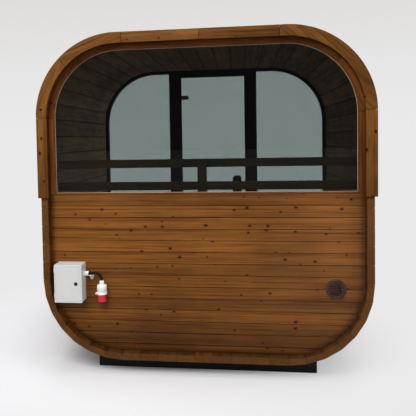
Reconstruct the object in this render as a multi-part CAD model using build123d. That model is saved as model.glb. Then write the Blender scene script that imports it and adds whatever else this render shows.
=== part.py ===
from build123d import *
import math
import os

os.makedirs("parts", exist_ok=True)

# Outer shell of lengthwise staves, seen from its end as a rounded square
shell_width = 2300.0
shell_height = 2300.0
shell_length = 2000.0
corner_radius = 570.0
stave_thickness = 50.0

# Bearers under the shell
ground_clearance = 105.0
bearer_side_inset = 363.0
bearer_thickness = 95.0
bearer_end_inset = 150.0

# Thin covering over the upper half
cover_thickness = 8.0

# Fascia boards on the upper half of each end
fascia_proud = 16.0
fascia_overlap = 9.0
fascia_thickness = 22.0
fascia_foot = 12.0
fascia_seam = 1.0
fascia_left_joint_rise = 2.0
fascia_right_joint_rise = 8.0
fascia_corner_tail = 40.0

# Rear wall, inset from the rear end of the shell
rear_recess = 60.0
wall_thickness = 42.0
wall_top = 29.0
vent_hole_radius = 50.0
vent_from_side = 244.0
vent_above_bottom = 519.0
fit_gap = 0.3

# Rear window
window_frame_width = 34.0
bead_width = 11.0
outer_bead_depth = 12.0
inner_bead_depth = 8.0

# Vent grille
vent_radius = 69.5
vent_rim_width = 7.0
vent_depth = 11.0
vent_louvre_count = 10
vent_louvre_thickness = 2.8
vent_louvre_tilt = 38.0
vent_collar_thickness = 2.5

# Front wall of framed glass
front_recess = 60.0
front_frame_depth = 68.0
front_frame_width = 27.0
pane_thickness = 10.0
door_opening = 630.0
door_post_width = 120.0
door_head_height = 67.0
threshold_height = 40.0

# Glass door
door_gap = 6.0
door_glass_thickness = 8.0
door_setback = 6.0
hinge_axis_stand = 9.0
hinge_barrel_radius = 7.0
hinge_pin_radius = 3.0
hinge_pin_clearance = 0.05
hinge_height = 42.0
hinge_knuckle_gap = 0.3
hinge_leaf_width = 46.0
hinge_leaf_thickness = 4.0
hinge_clamp_length = 62.0
hinge_clamp_thickness = 6.0
hinge_clamp_start = 12.0
upper_hinge_drop = 194.0
lower_hinge_rise = 221.0
handle_width = 87.0
handle_height = 250.0
handle_thickness = 18.0
handle_stand = 24.0
handle_from_edge = 74.0
handle_top_z = 35.0
handle_post_radius = 8.0
handle_corner = 30.0
handle_post_spacing = 170.0

# Backrest behind the rear window
rail_height = 60.0
rail_thickness = 28.0
rail_end_gap = 40.0
upper_rail_z = 243.0
lower_rail_z = 80.0
rail_rounding = 5.0
backrest_post_width = 64.0
backrest_post_depth = 45.0

# Control box on the rear wall
box_width = 201.0
box_height = 271.0
box_depth = 120.0
box_lid_depth = 22.0
box_wall = 4.0
box_rounding = 6.0
box_seam = 0.5
box_from_side = 200.0
box_above_bottom = 556.0
lid_panel_margin = 9.0
lid_panel_step = 1.2
lock_radius = 11.0
lock_ring_radius = 14.0
lock_proud = 3.0
lock_ring_proud = 1.2
lock_from_right = 43.0
lock_above_middle = 1.0
lock_slot_width = 2.4
lock_slot_depth = 1.5
lid_hinge_radius = 4.0
lid_hinge_pin_radius = 1.5
lid_hinge_stand = 5.0
lid_knuckle_height = 14.0
lid_hinge_offset = 90.0

# Cable, its gland and its plug
cable_radius = 10.0
cable_from_wall = 45.0
gland_radius = 20.0
gland_length = 32.0
gland_flange_length = 5.0
gland_sides = 6
gland_above_middle = 60.0
cable_rise_start = 25.0
cable_rise_run = 27.0
cable_rise = 4.0
cable_turn_run = 24.0
cable_turn_drop = 11.0
cable_drop_top = 22.0
cable_arc_share = 0.45
plug_from_box = 127.0
plug_gland_radius = 16.5
plug_below_gland = 48.0
plug_gland_height = 30.0
plug_body_radius = 35.5
plug_body_height = 56.0
plug_flange_radius = 36.5
plug_flange_height = 13.0
plug_lug_reach = 47.0
plug_lug_width = 26.0
plug_shroud_radius = 31.5
plug_shroud_height = 52.0
plug_shroud_wall = 4.0
plug_shroud_floor = 6.0
plug_pin_radius = 3.0
plug_pin_circle = 15.0
plug_pin_count = 5
clip_from_box = 45.0
clip_height = 40.0
clip_top_width = 37.0
clip_foot_width = 15.0
clip_thickness = 6.0

# Rest of the main lines
half_width = shell_width / 2
half_height = shell_height / 2
straight_x = half_width - corner_radius
straight_z = half_height - corner_radius
reach = shell_width
shell_centre_z = ground_clearance + half_height
rear_reach = box_depth - rear_recess + lock_proud
front_reach = fascia_thickness
total_length = shell_length + rear_reach + front_reach
rear_end = -total_length / 2 + rear_reach
front_end = rear_end + shell_length
wall_face = rear_end + rear_recess
wall_back = wall_face + wall_thickness
front_face = front_end - front_recess
front_back = front_face - front_frame_depth
box_face = wall_face - box_depth
lid_back = box_face + box_lid_depth
cable_y = wall_face - cable_from_wall
half_opening = door_opening / 2
post_outer = half_opening + door_post_width
inner_half_height = half_height - stave_thickness

# Places that follow from those lines
fascia_left_joint = straight_z + fascia_left_joint_rise
fascia_right_joint = straight_z + fascia_right_joint_rise
fascia_corner_end = straight_x - fascia_corner_tail
vent_x = half_width - vent_from_side
vent_z = vent_above_bottom - half_height
rail_end = half_width - stave_thickness - rail_end_gap
backrest_post_top = upper_rail_z + rail_height / 2
box_x = box_from_side - half_width
box_z = box_above_bottom - half_height
box_side = box_x + box_width / 2
lock_x = box_side - lock_from_right
lock_z = box_z + lock_above_middle
gland_z = box_z + gland_above_middle
plug_x = box_side + plug_from_box
plug_gland_top = gland_z - plug_below_gland
clip_x = box_side + clip_from_box
door_low = threshold_height + door_gap - inner_half_height
door_high = inner_half_height - door_head_height - door_gap
door_edge = half_opening - door_gap
upper_hinge_z = door_high - upper_hinge_drop
lower_hinge_z = door_low + lower_hinge_rise
handle_x = door_edge - handle_from_edge


def slab(sketch, y_low, y_high):
    plane = Plane(origin=(0, y_high, shell_centre_z), x_dir=(1, 0, 0), z_dir=(0, -1, 0))
    return extrude(plane * sketch, amount=y_high - y_low)


def outline(inset):
    return RectangleRounded(shell_width - 2 * inset, shell_height - 2 * inset, corner_radius - inset)


def band(outer_inset, inner_inset):
    return outline(outer_inset) - outline(inner_inset)


def span(x_low, x_high, z_low, z_high):
    rectangle = Rectangle(x_high - x_low, z_high - z_low)
    return Pos((x_low + x_high) / 2, (z_low + z_high) / 2) * rectangle


def block(x_low, x_high, y_low, y_high, z_low, z_high):
    return slab(span(x_low, x_high, z_low, z_high), y_low, y_high)


def upright(radius, x, y, z_low, z_high):
    base = Plane(origin=(x, y, shell_centre_z + z_low))
    return extrude(base * Circle(radius), amount=z_high - z_low)


def rod(radius, x, z, y_low, y_high):
    return slab(Pos(x, z) * Circle(radius), y_low, y_high)


def save(shape, name):
    export_step(shape, "parts/" + name + ".step")


# Shell
def make_shell():
    ring = band(0, stave_thickness)
    regions = {
        "shell_floor": span(-straight_x, straight_x, -reach, 0),
        "shell_roof": span(-straight_x, straight_x, 0, reach),
        "shell_left": span(-reach, 0, -straight_z, straight_z),
        "shell_right": span(0, reach, -straight_z, straight_z),
        "shell_corner_lower_left": span(-reach, -straight_x, -reach, -straight_z),
        "shell_corner_lower_right": span(straight_x, reach, -reach, -straight_z),
        "shell_corner_upper_left": span(-reach, -straight_x, straight_z, reach),
        "shell_corner_upper_right": span(straight_x, reach, straight_z, reach),
    }
    for name, region in regions.items():
        save(slab(ring & region, rear_end, front_end), name)


# Roof covering on the upper half of the shell
def make_roof_covers():
    sheet = band(-cover_thickness, -fit_gap)
    left = sheet & span(-reach, -straight_x, fascia_foot, reach)
    right = sheet & span(straight_x, reach, fascia_foot, reach)
    top = sheet & span(-straight_x, straight_x, 0, reach)
    save(slab(left, rear_end, front_end), "roof_cover_left")
    save(slab(right, rear_end, front_end), "roof_cover_right")
    save(slab(top, rear_end, front_end), "roof_cover_top")


# Fascia boards with their joints
def fascia_faces():
    boards = band(-fascia_proud, stave_thickness + fascia_overlap)
    boards = boards & span(-reach, reach, fascia_foot, reach)
    level_seam = Rectangle(2 * corner_radius, fascia_seam)
    upright_seam = Rectangle(fascia_seam, 2 * corner_radius)
    boards = boards - Pos(-half_width, fascia_left_joint) * level_seam
    boards = boards - Pos(half_width, fascia_right_joint) * level_seam
    boards = boards - Pos(-fascia_corner_end, half_height) * upright_seam
    boards = boards - Pos(fascia_corner_end, half_height) * upright_seam
    boards = boards - Pos(0, half_height) * upright_seam
    diagonal = Rectangle(4 * corner_radius, fascia_seam)
    cut_place = Pos(-straight_x - corner_radius, straight_z + corner_radius)
    boards = boards - cut_place * Rot(0, 0, 135) * diagonal
    return boards.faces()


def make_fascia():
    faces = fascia_faces()
    left = [face for face in faces if face.center().X < -fascia_corner_end]
    right = [face for face in faces if face.center().X > fascia_corner_end]
    top = [face for face in faces if abs(face.center().X) < fascia_corner_end]
    ends = {
        "rear": (rear_end - fascia_thickness, rear_end),
        "front": (front_end, front_end + fascia_thickness),
    }
    groups = {"left": left, "top": top, "right": right}
    for end, limits in ends.items():
        for side, group in groups.items():
            boards = [slab(Sketch(face.wrapped), limits[0], limits[1]) for face in group]
            save(Compound(children=boards), "fascia_" + end + "_" + side)


# Bearers cut to the curve of the shell
def make_bearers():
    bearer_end = half_width - bearer_side_inset
    blank = span(-bearer_end, bearer_end, -half_height - ground_clearance, -straight_z)
    profile = blank - outline(0)
    half_run = shell_length / 2 - bearer_end_inset - bearer_thickness / 2
    middle = (rear_end + front_end) / 2
    bearers = []
    for offset in (-half_run, 0, half_run):
        y_low = middle + offset - bearer_thickness / 2
        bearers.append(slab(profile, y_low, y_low + bearer_thickness))
    save(Compound(children=bearers), "bearers")


# Rear wall with its vent hole
def make_rear_wall():
    field = outline(stave_thickness + fit_gap) & span(-reach, reach, -reach, wall_top)
    field = field - Pos(vent_x, vent_z) * Circle(vent_hole_radius)
    save(slab(field, wall_face, wall_back), "rear_wall")


# Rear window: dark frame, beads on both sides and tinted glass
def make_rear_window():
    above = span(-reach, reach, wall_top, reach)
    frame_inset = stave_thickness + window_frame_width
    frame = band(stave_thickness + fit_gap, frame_inset) & above
    save(slab(frame, wall_face, wall_back), "rear_window_frame")
    daylight = outline(frame_inset + bead_width) & span(-reach, reach, wall_top + bead_width, reach)
    field = outline(frame_inset + fit_gap) & above
    bead = field - daylight
    outer = slab(bead, wall_face, wall_face + outer_bead_depth)
    inner = slab(bead, wall_back - inner_bead_depth, wall_back)
    save(Compound(children=[outer, inner]), "rear_window_beads")
    glass = slab(field, wall_face + outer_bead_depth, wall_back - inner_bead_depth)
    save(glass, "rear_window_glass")


# Round vent grille with tilted louvres inside a rim
def make_vent():
    rim = Circle(vent_radius) - Circle(vent_radius - vent_rim_width)
    ring = slab(Pos(vent_x, vent_z) * rim, wall_face - vent_depth, wall_face)
    clear_radius = vent_radius - vent_rim_width / 2
    pitch = 2 * (vent_radius - vent_rim_width) / vent_louvre_count
    core = rod(clear_radius, vent_x, vent_z, wall_face - vent_depth, wall_face)
    louvres = []
    for index in range(vent_louvre_count):
        z = (index + 0.5) * pitch - vent_radius + vent_rim_width
        slat = Box(2 * vent_radius, 2 * vent_depth, vent_louvre_thickness)
        height = shell_centre_z + vent_z + z
        place = Pos(vent_x, wall_face - vent_depth / 2, height) * Rot(vent_louvre_tilt, 0, 0)
        louvres.append(place * slat & core)
    collar_outer = vent_hole_radius - fit_gap
    collar = Circle(collar_outer) - Circle(collar_outer - vent_collar_thickness)
    sleeve = slab(Pos(vent_x, vent_z) * collar, wall_face, wall_back)
    grille = ring
    for slat in louvres:
        grille = grille + slat
    save(grille + sleeve, "vent_grille")


# Front wall: frames, posts, head, threshold and side panes
def make_front_wall():
    ring = band(stave_thickness + fit_gap, stave_thickness + front_frame_width)
    field = outline(stave_thickness + front_frame_width + fit_gap)
    pane_low = (front_face + front_back - pane_thickness) / 2
    pane_high = pane_low + pane_thickness
    sides = {
        "left": span(-reach, -post_outer, -reach, reach),
        "right": span(post_outer, reach, -reach, reach),
    }
    for side, region in sides.items():
        save(slab(ring & region, front_back, front_face), "front_frame_" + side)
        save(slab(field & region, pane_low, pane_high), "front_pane_" + side)
    left_post = block(-post_outer, -half_opening, front_back, front_face, -inner_half_height, inner_half_height)
    right_post = block(half_opening, post_outer, front_back, front_face, -inner_half_height, inner_half_height)
    save(left_post, "door_post_left")
    save(right_post, "door_post_right")
    head_low = inner_half_height - door_head_height
    head = block(-half_opening, half_opening, front_back, front_face, head_low, inner_half_height)
    save(head, "door_head")
    sill_high = threshold_height - inner_half_height
    sill = block(-half_opening, half_opening, front_back, front_face, -inner_half_height, sill_high)
    save(sill, "door_threshold")


# Glass door with clamp hinges and a handle pair
glass_high = front_face - door_setback
glass_low = glass_high - door_glass_thickness
hinge_axis_y = front_face + hinge_axis_stand
hinge_axis_x = -half_opening
knuckle_height = (hinge_height - hinge_knuckle_gap) / 2


def make_door_glass():
    save(block(-door_edge, door_edge, glass_low, glass_high, door_low, door_high), "door_glass")


def fixed_hinge(z):
    z_low = z - hinge_height / 2
    z_high = z + hinge_height / 2
    leaf_high = front_face + hinge_leaf_thickness
    leaf_x = hinge_axis_x - hinge_leaf_width
    leaf = block(leaf_x, hinge_axis_x, front_face, leaf_high, z_low, z_low + knuckle_height)
    wide_leaf = block(leaf_x, hinge_axis_x - 2 * hinge_barrel_radius, front_face, leaf_high, z_low, z_high)
    barrel = upright(hinge_barrel_radius, hinge_axis_x, hinge_axis_y, z_low, z_low + knuckle_height)
    pin = upright(hinge_pin_radius, hinge_axis_x, hinge_axis_y, z_low, z_high)
    return leaf + wide_leaf + barrel + pin


def moving_hinge(z):
    z_high = z + hinge_height / 2
    z_low = z_high - knuckle_height
    barrel = upright(hinge_barrel_radius, hinge_axis_x, hinge_axis_y, z_low, z_high)
    plate_low = hinge_axis_x + hinge_clamp_start
    plate_high = plate_low + hinge_clamp_length
    arm_end = plate_low + hinge_clamp_start
    arm_back = hinge_axis_y - hinge_barrel_radius + hinge_knuckle_gap
    arm = block(hinge_axis_x, arm_end, arm_back, hinge_axis_y, z_low, z_high)
    foot = block(plate_low, arm_end, glass_high, hinge_axis_y, z_low, z_high)
    plate = rounded_plate(plate_low, plate_high, z, glass_high, glass_high + hinge_clamp_thickness)
    inner = rounded_plate(plate_low, plate_high, z, glass_low - hinge_clamp_thickness, glass_low)
    outer = barrel + arm + foot + plate
    hole = upright(hinge_pin_radius + hinge_pin_clearance, hinge_axis_x, hinge_axis_y, z_low, z_high)
    return [outer - hole, inner]


def rounded_plate(x_low, x_high, z, y_low, y_high):
    end_radius = hinge_height / 2
    straight = span(x_low, x_high - end_radius, z - end_radius, z + end_radius)
    tip = Pos(x_high - end_radius, z) * Circle(end_radius)
    return slab(straight + tip, y_low, y_high)


def make_door_hinges():
    fixed = [fixed_hinge(z) for z in (upper_hinge_z, lower_hinge_z)]
    save(Compound(children=fixed), "door_hinge_leaves")
    moving = moving_hinge(upper_hinge_z) + moving_hinge(lower_hinge_z)
    save(Compound(children=moving), "door_hinge_clamps")


def make_door_handle():
    middle_z = handle_top_z - handle_height / 2
    plate = Pos(handle_x, middle_z) * RectangleRounded(handle_width, handle_height, handle_corner)
    out_low = glass_high + handle_stand
    in_high = glass_low - handle_stand
    outer = slab(plate, out_low, out_low + handle_thickness)
    inner = slab(plate, in_high - handle_thickness, in_high)
    for offset in (-handle_post_spacing / 2, handle_post_spacing / 2):
        outer = outer + rod(handle_post_radius, handle_x, middle_z + offset, glass_high, out_low)
        inner = inner + rod(handle_post_radius, handle_x, middle_z + offset, in_high, glass_low)
    save(Compound(children=[outer, inner]), "door_handle")


# Backrest: one post on the rear wall carries two rails
def make_backrest():
    post_high = wall_back + backrest_post_depth
    half_post = backrest_post_width / 2
    post = block(-half_post, half_post, wall_back, post_high, -inner_half_height, backrest_post_top)
    save(post, "backrest_post")
    rails = []
    for z in (upper_rail_z, lower_rail_z):
        low = z - rail_height / 2
        rail = block(-rail_end, rail_end, post_high, post_high + rail_thickness, low, low + rail_height)
        rails.append(fillet(rail.edges().filter_by(Axis.X), rail_rounding))
    save(Compound(children=rails), "backrest_rails")


# Control box: open tray, hinged lid and its turn lock
lid_axis_x = box_x - box_width / 2 - lid_hinge_stand
lid_axis_y = lid_back


def lid_knuckle(z_low, toward_tray):
    knuckle = upright(lid_hinge_radius, lid_axis_x, lid_axis_y, z_low, z_low + lid_knuckle_height)
    x_high = box_x - box_width / 2 + box_wall / 2
    if toward_tray:
        web = block(lid_axis_x, x_high, lid_back + box_seam, lid_back + lid_hinge_radius, z_low,
                    z_low + lid_knuckle_height)
    else:
        web = block(lid_axis_x, x_high, lid_back - lid_hinge_radius, lid_back - box_seam, z_low,
                    z_low + lid_knuckle_height)
    return knuckle, web


def make_control_box():
    half_w = box_width / 2
    half_h = box_height / 2
    tray_low = lid_back + box_seam
    tray = block(box_x - half_w, box_x + half_w, tray_low, wall_face, box_z - half_h, box_z + half_h)
    tray = fillet(tray.edges().filter_by(Axis.Y), box_rounding)
    inner = block(box_x - half_w + box_wall, box_x + half_w - box_wall, tray_low, wall_face - box_wall,
                  box_z - half_h + box_wall, box_z + half_h - box_wall)
    tray = tray - inner
    for centre in (box_z - lid_hinge_offset, box_z + lid_hinge_offset):
        z_low = centre - lid_knuckle_height
        knuckle, web = lid_knuckle(z_low, True)
        pin = upright(lid_hinge_pin_radius, lid_axis_x, lid_axis_y, z_low, centre + lid_knuckle_height)
        tray = tray + knuckle + web + pin
    side_plane = Plane(origin=(box_side, cable_y, shell_centre_z + gland_z), z_dir=(1, 0, 0))
    hole = extrude(side_plane * Circle(cable_radius + fit_gap), amount=box_wall, both=True)
    save(tray - hole, "control_box_body")
    lid_shape = block(box_x - half_w, box_x + half_w, box_face, lid_back, box_z - half_h, box_z + half_h)
    lid_shape = fillet(lid_shape.edges().filter_by(Axis.Y), box_rounding)
    lid_shape = fillet(lid_shape.faces().sort_by(Axis.Y)[0].edges(), box_rounding / 2)
    hollow = block(box_x - half_w + box_wall, box_x + half_w - box_wall, box_face + box_wall, lid_back,
                   box_z - half_h + box_wall, box_z + half_h - box_wall)
    lid_shape = lid_shape - hollow
    margin = lid_panel_margin
    groove = RectangleRounded(box_width - 2 * margin, box_height - 2 * margin, box_rounding)
    inner_groove = RectangleRounded(box_width - 3 * margin, box_height - 3 * margin, box_rounding)
    groove_cut = Pos(box_x, box_z) * (groove - inner_groove)
    lid_shape = lid_shape - slab(groove_cut, box_face, box_face + lid_panel_step)
    for centre in (box_z - lid_hinge_offset, box_z + lid_hinge_offset):
        knuckle, web = lid_knuckle(centre + hinge_knuckle_gap, False)
        hole = upright(lid_hinge_pin_radius + hinge_pin_clearance, lid_axis_x, lid_axis_y,
                       centre, centre + 2 * lid_knuckle_height)
        lid_shape = lid_shape + (knuckle + web - hole)
    save(lid_shape, "control_box_lid")
    ring = rod(lock_ring_radius, lock_x, lock_z, box_face - lock_ring_proud, box_face)
    insert = rod(lock_radius, lock_x, lock_z, box_face - lock_proud, box_face - lock_ring_proud)
    slot = slab(Pos(lock_x, lock_z) * Rectangle(2 * lock_radius, lock_slot_width),
                box_face - lock_proud, box_face - lock_proud + lock_slot_depth)
    save(ring + (insert - slot), "control_box_lock")


# Gland in the side of the box
def make_gland():
    plane = Plane(origin=(box_side, cable_y, shell_centre_z + gland_z), z_dir=(1, 0, 0))
    flange = extrude(plane * RegularPolygon(gland_radius, gland_sides), amount=gland_flange_length)
    cap_plane = plane.offset(gland_flange_length)
    cap_sketch = Circle(gland_radius * math.cos(math.pi / gland_sides))
    cap = extrude(cap_plane * cap_sketch, amount=gland_length - gland_flange_length)
    rim = cap.faces().sort_by(Axis.X)[-1].edges()
    cap = fillet(rim, cable_radius / 3)
    save(flange + cap, "box_gland")


# Cable: out of the gland, over the clip and down into the plug
def cable_points():
    start = Vector(box_side + gland_length, cable_y, shell_centre_z + gland_z)
    lift = start + Vector(cable_rise_start, 0, 0)
    crest = lift + Vector(cable_rise_run, 0, cable_rise)
    shoulder = crest + Vector(cable_turn_run, 0, -cable_turn_drop)
    end = Vector(plug_x, cable_y, shell_centre_z + plug_gland_top)
    drop = end + Vector(0, 0, cable_drop_top)
    return [start, lift, crest, shoulder, drop, end]


def cable_radii(points):
    radii = []
    for before, corner, after in zip(points, points[1:], points[2:]):
        shorter = min((corner - before).length, (after - corner).length)
        turn = math.radians((corner - before).get_angle(after - corner))
        radii.append(cable_arc_share * shorter / math.tan(turn / 2))
    return radii


def make_cable():
    points = cable_points()
    radii = cable_radii(points)
    route = FilletPolyline(*points, radius=radii)
    profile = Plane(origin=points[0], z_dir=(1, 0, 0)) * Circle(cable_radius)
    tube = sweep(profile, path=route)
    save(tube, "cable")
    print("cable length", route.length, "radii", radii)
    print("cable volume ratio", tube.volume / (math.pi * cable_radius ** 2 * route.length))


# Plug: nut, body, flange and open shroud around the pins
def make_plug():
    body_top = plug_gland_top - plug_gland_height
    body_low = body_top - plug_body_height
    flange_low = body_low - plug_flange_height
    shroud_low = flange_low - plug_shroud_height
    nut = upright(plug_gland_radius, plug_x, cable_y, body_top, plug_gland_top)
    nut = chamfer(nut.edges().sort_by(Axis.Z)[-1], plug_gland_radius / 4)
    body = upright(plug_body_radius, plug_x, cable_y, body_low, body_top)
    body = fillet(body.edges().sort_by(Axis.Z)[-1], plug_body_radius / 4)
    flange = upright(plug_flange_radius, plug_x, cable_y, flange_low, body_low)
    half_lug = plug_lug_width / 2
    lug = block(plug_x - plug_lug_reach, plug_x, cable_y - half_lug, cable_y + half_lug, flange_low, body_low)
    save(nut + body + flange + lug, "plug_body")
    shroud = upright(plug_shroud_radius, plug_x, cable_y, shroud_low, flange_low)
    hollow = upright(plug_shroud_radius - plug_shroud_wall, plug_x, cable_y, shroud_low,
                     flange_low - plug_shroud_floor)
    shroud = shroud - hollow
    for index in range(plug_pin_count):
        angle = 2 * math.pi * index / plug_pin_count
        x = plug_x + plug_pin_circle * math.cos(angle)
        y = cable_y + plug_pin_circle * math.sin(angle)
        shroud = shroud + upright(plug_pin_radius, x, y, shroud_low + plug_shroud_wall, flange_low)
    save(shroud, "plug_shroud")


# Clip on the wall, its arm under the cable
def make_clip():
    high = gland_z - cable_radius - fit_gap
    low = high - clip_height
    half_top = clip_top_width / 2
    half_foot = clip_foot_width / 2
    corners = [(-half_foot, low), (half_foot, low), (half_top, high), (-half_top, high)]
    face = Pos(clip_x, 0) * Polygon(*corners, align=None)
    plate = slab(face, wall_face - clip_thickness, wall_face)
    arm = block(clip_x - half_foot, clip_x + half_foot, cable_y - cable_radius, wall_face,
                high - clip_thickness, high)
    save(plate + arm, "cable_clip")


make_shell()
make_roof_covers()
make_fascia()
make_bearers()
make_rear_wall()
make_rear_window()
make_vent()
make_front_wall()
make_door_glass()
make_door_hinges()
make_door_handle()
make_backrest()
make_control_box()
make_gland()
make_cable()
make_plug()
make_clip()
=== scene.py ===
# %% [markdown]
# # An outdoor sauna cabin
#
# The cabin is a rounded-square tube of lengthwise staves. Its rear end, the one in the
# photograph, has a wall of level boards under a tinted half-moon window. A glass front with a
# glass door closes the far end and shows dimly through that window.
# Lengths are in metres, Z is up, X runs to the right across the rear wall and Y runs from the
# rear wall to the glass front.

import math
import random

import bmesh
import bpy
from mathutils import Euler, Matrix, Vector


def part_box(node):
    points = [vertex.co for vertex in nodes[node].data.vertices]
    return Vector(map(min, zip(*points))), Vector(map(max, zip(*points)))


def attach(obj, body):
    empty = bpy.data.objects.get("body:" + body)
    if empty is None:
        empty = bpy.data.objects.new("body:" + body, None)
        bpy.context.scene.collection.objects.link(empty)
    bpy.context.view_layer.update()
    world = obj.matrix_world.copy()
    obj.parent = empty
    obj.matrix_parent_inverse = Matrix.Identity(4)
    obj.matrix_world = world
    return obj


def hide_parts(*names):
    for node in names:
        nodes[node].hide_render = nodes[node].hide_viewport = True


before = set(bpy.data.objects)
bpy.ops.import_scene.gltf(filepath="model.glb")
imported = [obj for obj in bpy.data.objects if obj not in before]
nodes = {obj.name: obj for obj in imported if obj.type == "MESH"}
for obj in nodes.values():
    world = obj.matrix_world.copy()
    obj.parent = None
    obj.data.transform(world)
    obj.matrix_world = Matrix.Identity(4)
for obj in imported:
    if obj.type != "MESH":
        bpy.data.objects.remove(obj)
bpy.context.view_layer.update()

# %% [markdown]
# ## Camera
#
# The photograph was cropped off centre: the lens looks a little left of and above the cabin's
# middle. A full sideways shift would push the cabin out of other views, so about half of it is
# a shift and the rest is a slight turn of the camera.

# %% Camera
IMAGE_SIZE = 416
FOCAL_PIXELS = 581.3
PRINCIPAL_X = 158.0
PRINCIPAL_Y = 165.0
SENSOR_WIDTH = 36.0
CAMERA_YAW = -0.1408
CAMERA_PITCH = -0.0445
CAMERA_ROLL = -0.0189
CAMERA_ASIDE = 0.2686
CAMERA_BACK = 4.0014
CAMERA_HEIGHT = 1.5687
shell_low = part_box("shell_floor")[0]
camera_place = Vector((CAMERA_ASIDE, shell_low.y - CAMERA_BACK, shell_low.z + CAMERA_HEIGHT))

camera_data = bpy.data.cameras.new("Camera")
camera = bpy.data.objects.new("Camera", camera_data)
bpy.context.scene.collection.objects.link(camera)
bpy.context.scene.camera = camera
camera_data.sensor_width = SENSOR_WIDTH
camera_data.lens = FOCAL_PIXELS / IMAGE_SIZE * SENSOR_WIDTH
camera_data.shift_x = (IMAGE_SIZE / 2 - PRINCIPAL_X) / IMAGE_SIZE
camera_data.shift_y = (PRINCIPAL_Y - IMAGE_SIZE / 2) / IMAGE_SIZE
camera_turn = Matrix.Rotation(-CAMERA_YAW, 4, "Z")
camera_turn = camera_turn @ Matrix.Rotation(math.pi / 2 + CAMERA_PITCH, 4, "X")
camera_turn = camera_turn @ Matrix.Rotation(CAMERA_ROLL, 4, "Z")
camera.matrix_world = Matrix.Translation(camera_place) @ camera_turn
print("lens", round(camera_data.lens, 1), "shift", round(camera_data.shift_x, 3))

# %% [markdown]
# ## Cable
#
# A short supply lead in black rubber. It leaves the gland level, lies over the clip and drops
# into the plug, so the whole of it shows. A NURBS curve through so few points stays as smooth as
# a stiff lead that is bent by hand.

# %% Cable
CABLE_DIAMETER = 0.02
CABLE_Y = -0.9645
CABLE_ROUTE = [
    (-0.8175, CABLE_Y, 0.721),
    (-0.7925, CABLE_Y, 0.721),
    (-0.7655, CABLE_Y, 0.725),
    (-0.7415, CABLE_Y, 0.714),
    (-0.7225, CABLE_Y, 0.695),
    (-0.7225, CABLE_Y, 0.673),
]
cable_curve = bpy.data.curves.new("cable_lead", "CURVE")
cable_curve.dimensions = "3D"
cable_curve.bevel_depth = CABLE_DIAMETER / 2
cable_curve.bevel_resolution = 6
cable_curve.resolution_u = 16
cable_curve.use_fill_caps = True
lead = cable_curve.splines.new("NURBS")
lead.points.add(len(CABLE_ROUTE) - 1)
for place, spot in zip(lead.points, CABLE_ROUTE):
    place.co = (*spot, 1.0)
lead.order_u = 3
lead.use_endpoint_u = True
cable_piece = bpy.data.objects.new("cable_lead", cable_curve)
bpy.context.scene.collection.objects.link(cable_piece)
print("cable from", CABLE_ROUTE[0], "to", CABLE_ROUTE[-1])

# %% [markdown]
# ## Main sizes
#
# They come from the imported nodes, so a piece lands where its CAD solid is.

# %% Main sizes
RANDOM_SEED = 20
CORNER_RADIUS = 0.570
STAVE_THICKNESS = 0.050
half_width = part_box("shell_right")[1].x
shell_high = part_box("shell_roof")[1]
half_height = (shell_high.z - shell_low.z) / 2
centre_z = (shell_high.z + shell_low.z) / 2
straight = half_width - CORNER_RADIUS
rear_end = shell_low.y
front_end = shell_high.y
middle_y = (rear_end + front_end) / 2
wall_low, wall_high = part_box("rear_wall")
frame_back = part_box("front_frame_left")[0]
print("half width", round(half_width, 4), "centre height", round(centre_z, 4))

# %% [markdown]
# ## Node helpers
#
# Materials and layout trees are all built from nodes. One helper makes a node with its settings
# and fills its sockets, from a plain value or from another node's output. Wiring each link by
# itself would do the same, but a formula would then be hard to see among the links.


# %% Making and filling nodes
def set_inputs(tree, node, inputs):
    """Fills sockets, named or counted, with numbers, colours, names or other nodes' outputs."""
    for key, value in inputs.items():
        socket = node.inputs[key]
        if isinstance(value, bpy.types.NodeSocket):
            tree.links.new(value, socket)
        elif isinstance(value, tuple) and socket.type == "RGBA":
            socket.default_value = (*value, 1.0)
        else:
            socket.default_value = value


def add_node(tree, kind, inputs=None, **settings):
    made = tree.nodes.new(kind)
    for name, value in settings.items():
        setattr(made, name, value)
    set_inputs(tree, made, inputs or {})
    return made


def new_group(name, kind, inputs, outputs):
    """A tree with named sockets, each written (label, kind) or (label, kind, default)."""
    group = bpy.data.node_groups.new(name, kind)
    for side, sockets in (("INPUT", inputs), ("OUTPUT", outputs)):
        for label, sort, *default in sockets:
            socket = group.interface.new_socket(name=label, in_out=side,
                                                socket_type="NodeSocket" + sort)
            if default:
                socket.default_value = default[0]
    return group, group.nodes.new("NodeGroupInput").outputs, group.nodes.new("NodeGroupOutput")


# %% Sums and vectors
def math_node(tree, operation, *values):
    made = add_node(tree, "ShaderNodeMath", dict(enumerate(values)), operation=operation)
    return made.outputs[0]


def product(tree, first, *others):
    for other in others:
        first = math_node(tree, "MULTIPLY", first, other)
    return first


def vector_math(tree, operation, first, second):
    sockets = (0, "Scale") if operation == "SCALE" else (0, 1)
    made = add_node(tree, "ShaderNodeVectorMath", dict(zip(sockets, (first, second))),
                    operation=operation)
    return made.outputs[0]


def separate(tree, vector):
    return add_node(tree, "ShaderNodeSeparateXYZ", {0: vector}).outputs


def combine(tree, *parts):
    return add_node(tree, "ShaderNodeCombineXYZ", dict(enumerate(parts))).outputs[0]


# %% Ranges and distances
def remap(tree, value, low, high, to_low=0.0, to_high=1.0):
    """A smooth step from low to high."""
    ends = {"Value": value, "From Min": low, "From Max": high, "To Min": to_low, "To Max": to_high}
    made = add_node(tree, "ShaderNodeMapRange", ends, interpolation_type="SMOOTHSTEP")
    return made.outputs["Result"]


def distance_from(tree, place, **centre):
    """How far a point lies from an axis, given by the two coordinates that cross it."""
    squares = []
    for axis, value in centre.items():
        off = math_node(tree, "SUBTRACT", place[axis], value)
        squares.append(math_node(tree, "MULTIPLY", off, off))
    return math_node(tree, "SQRT", math_node(tree, "ADD", *squares))


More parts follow.
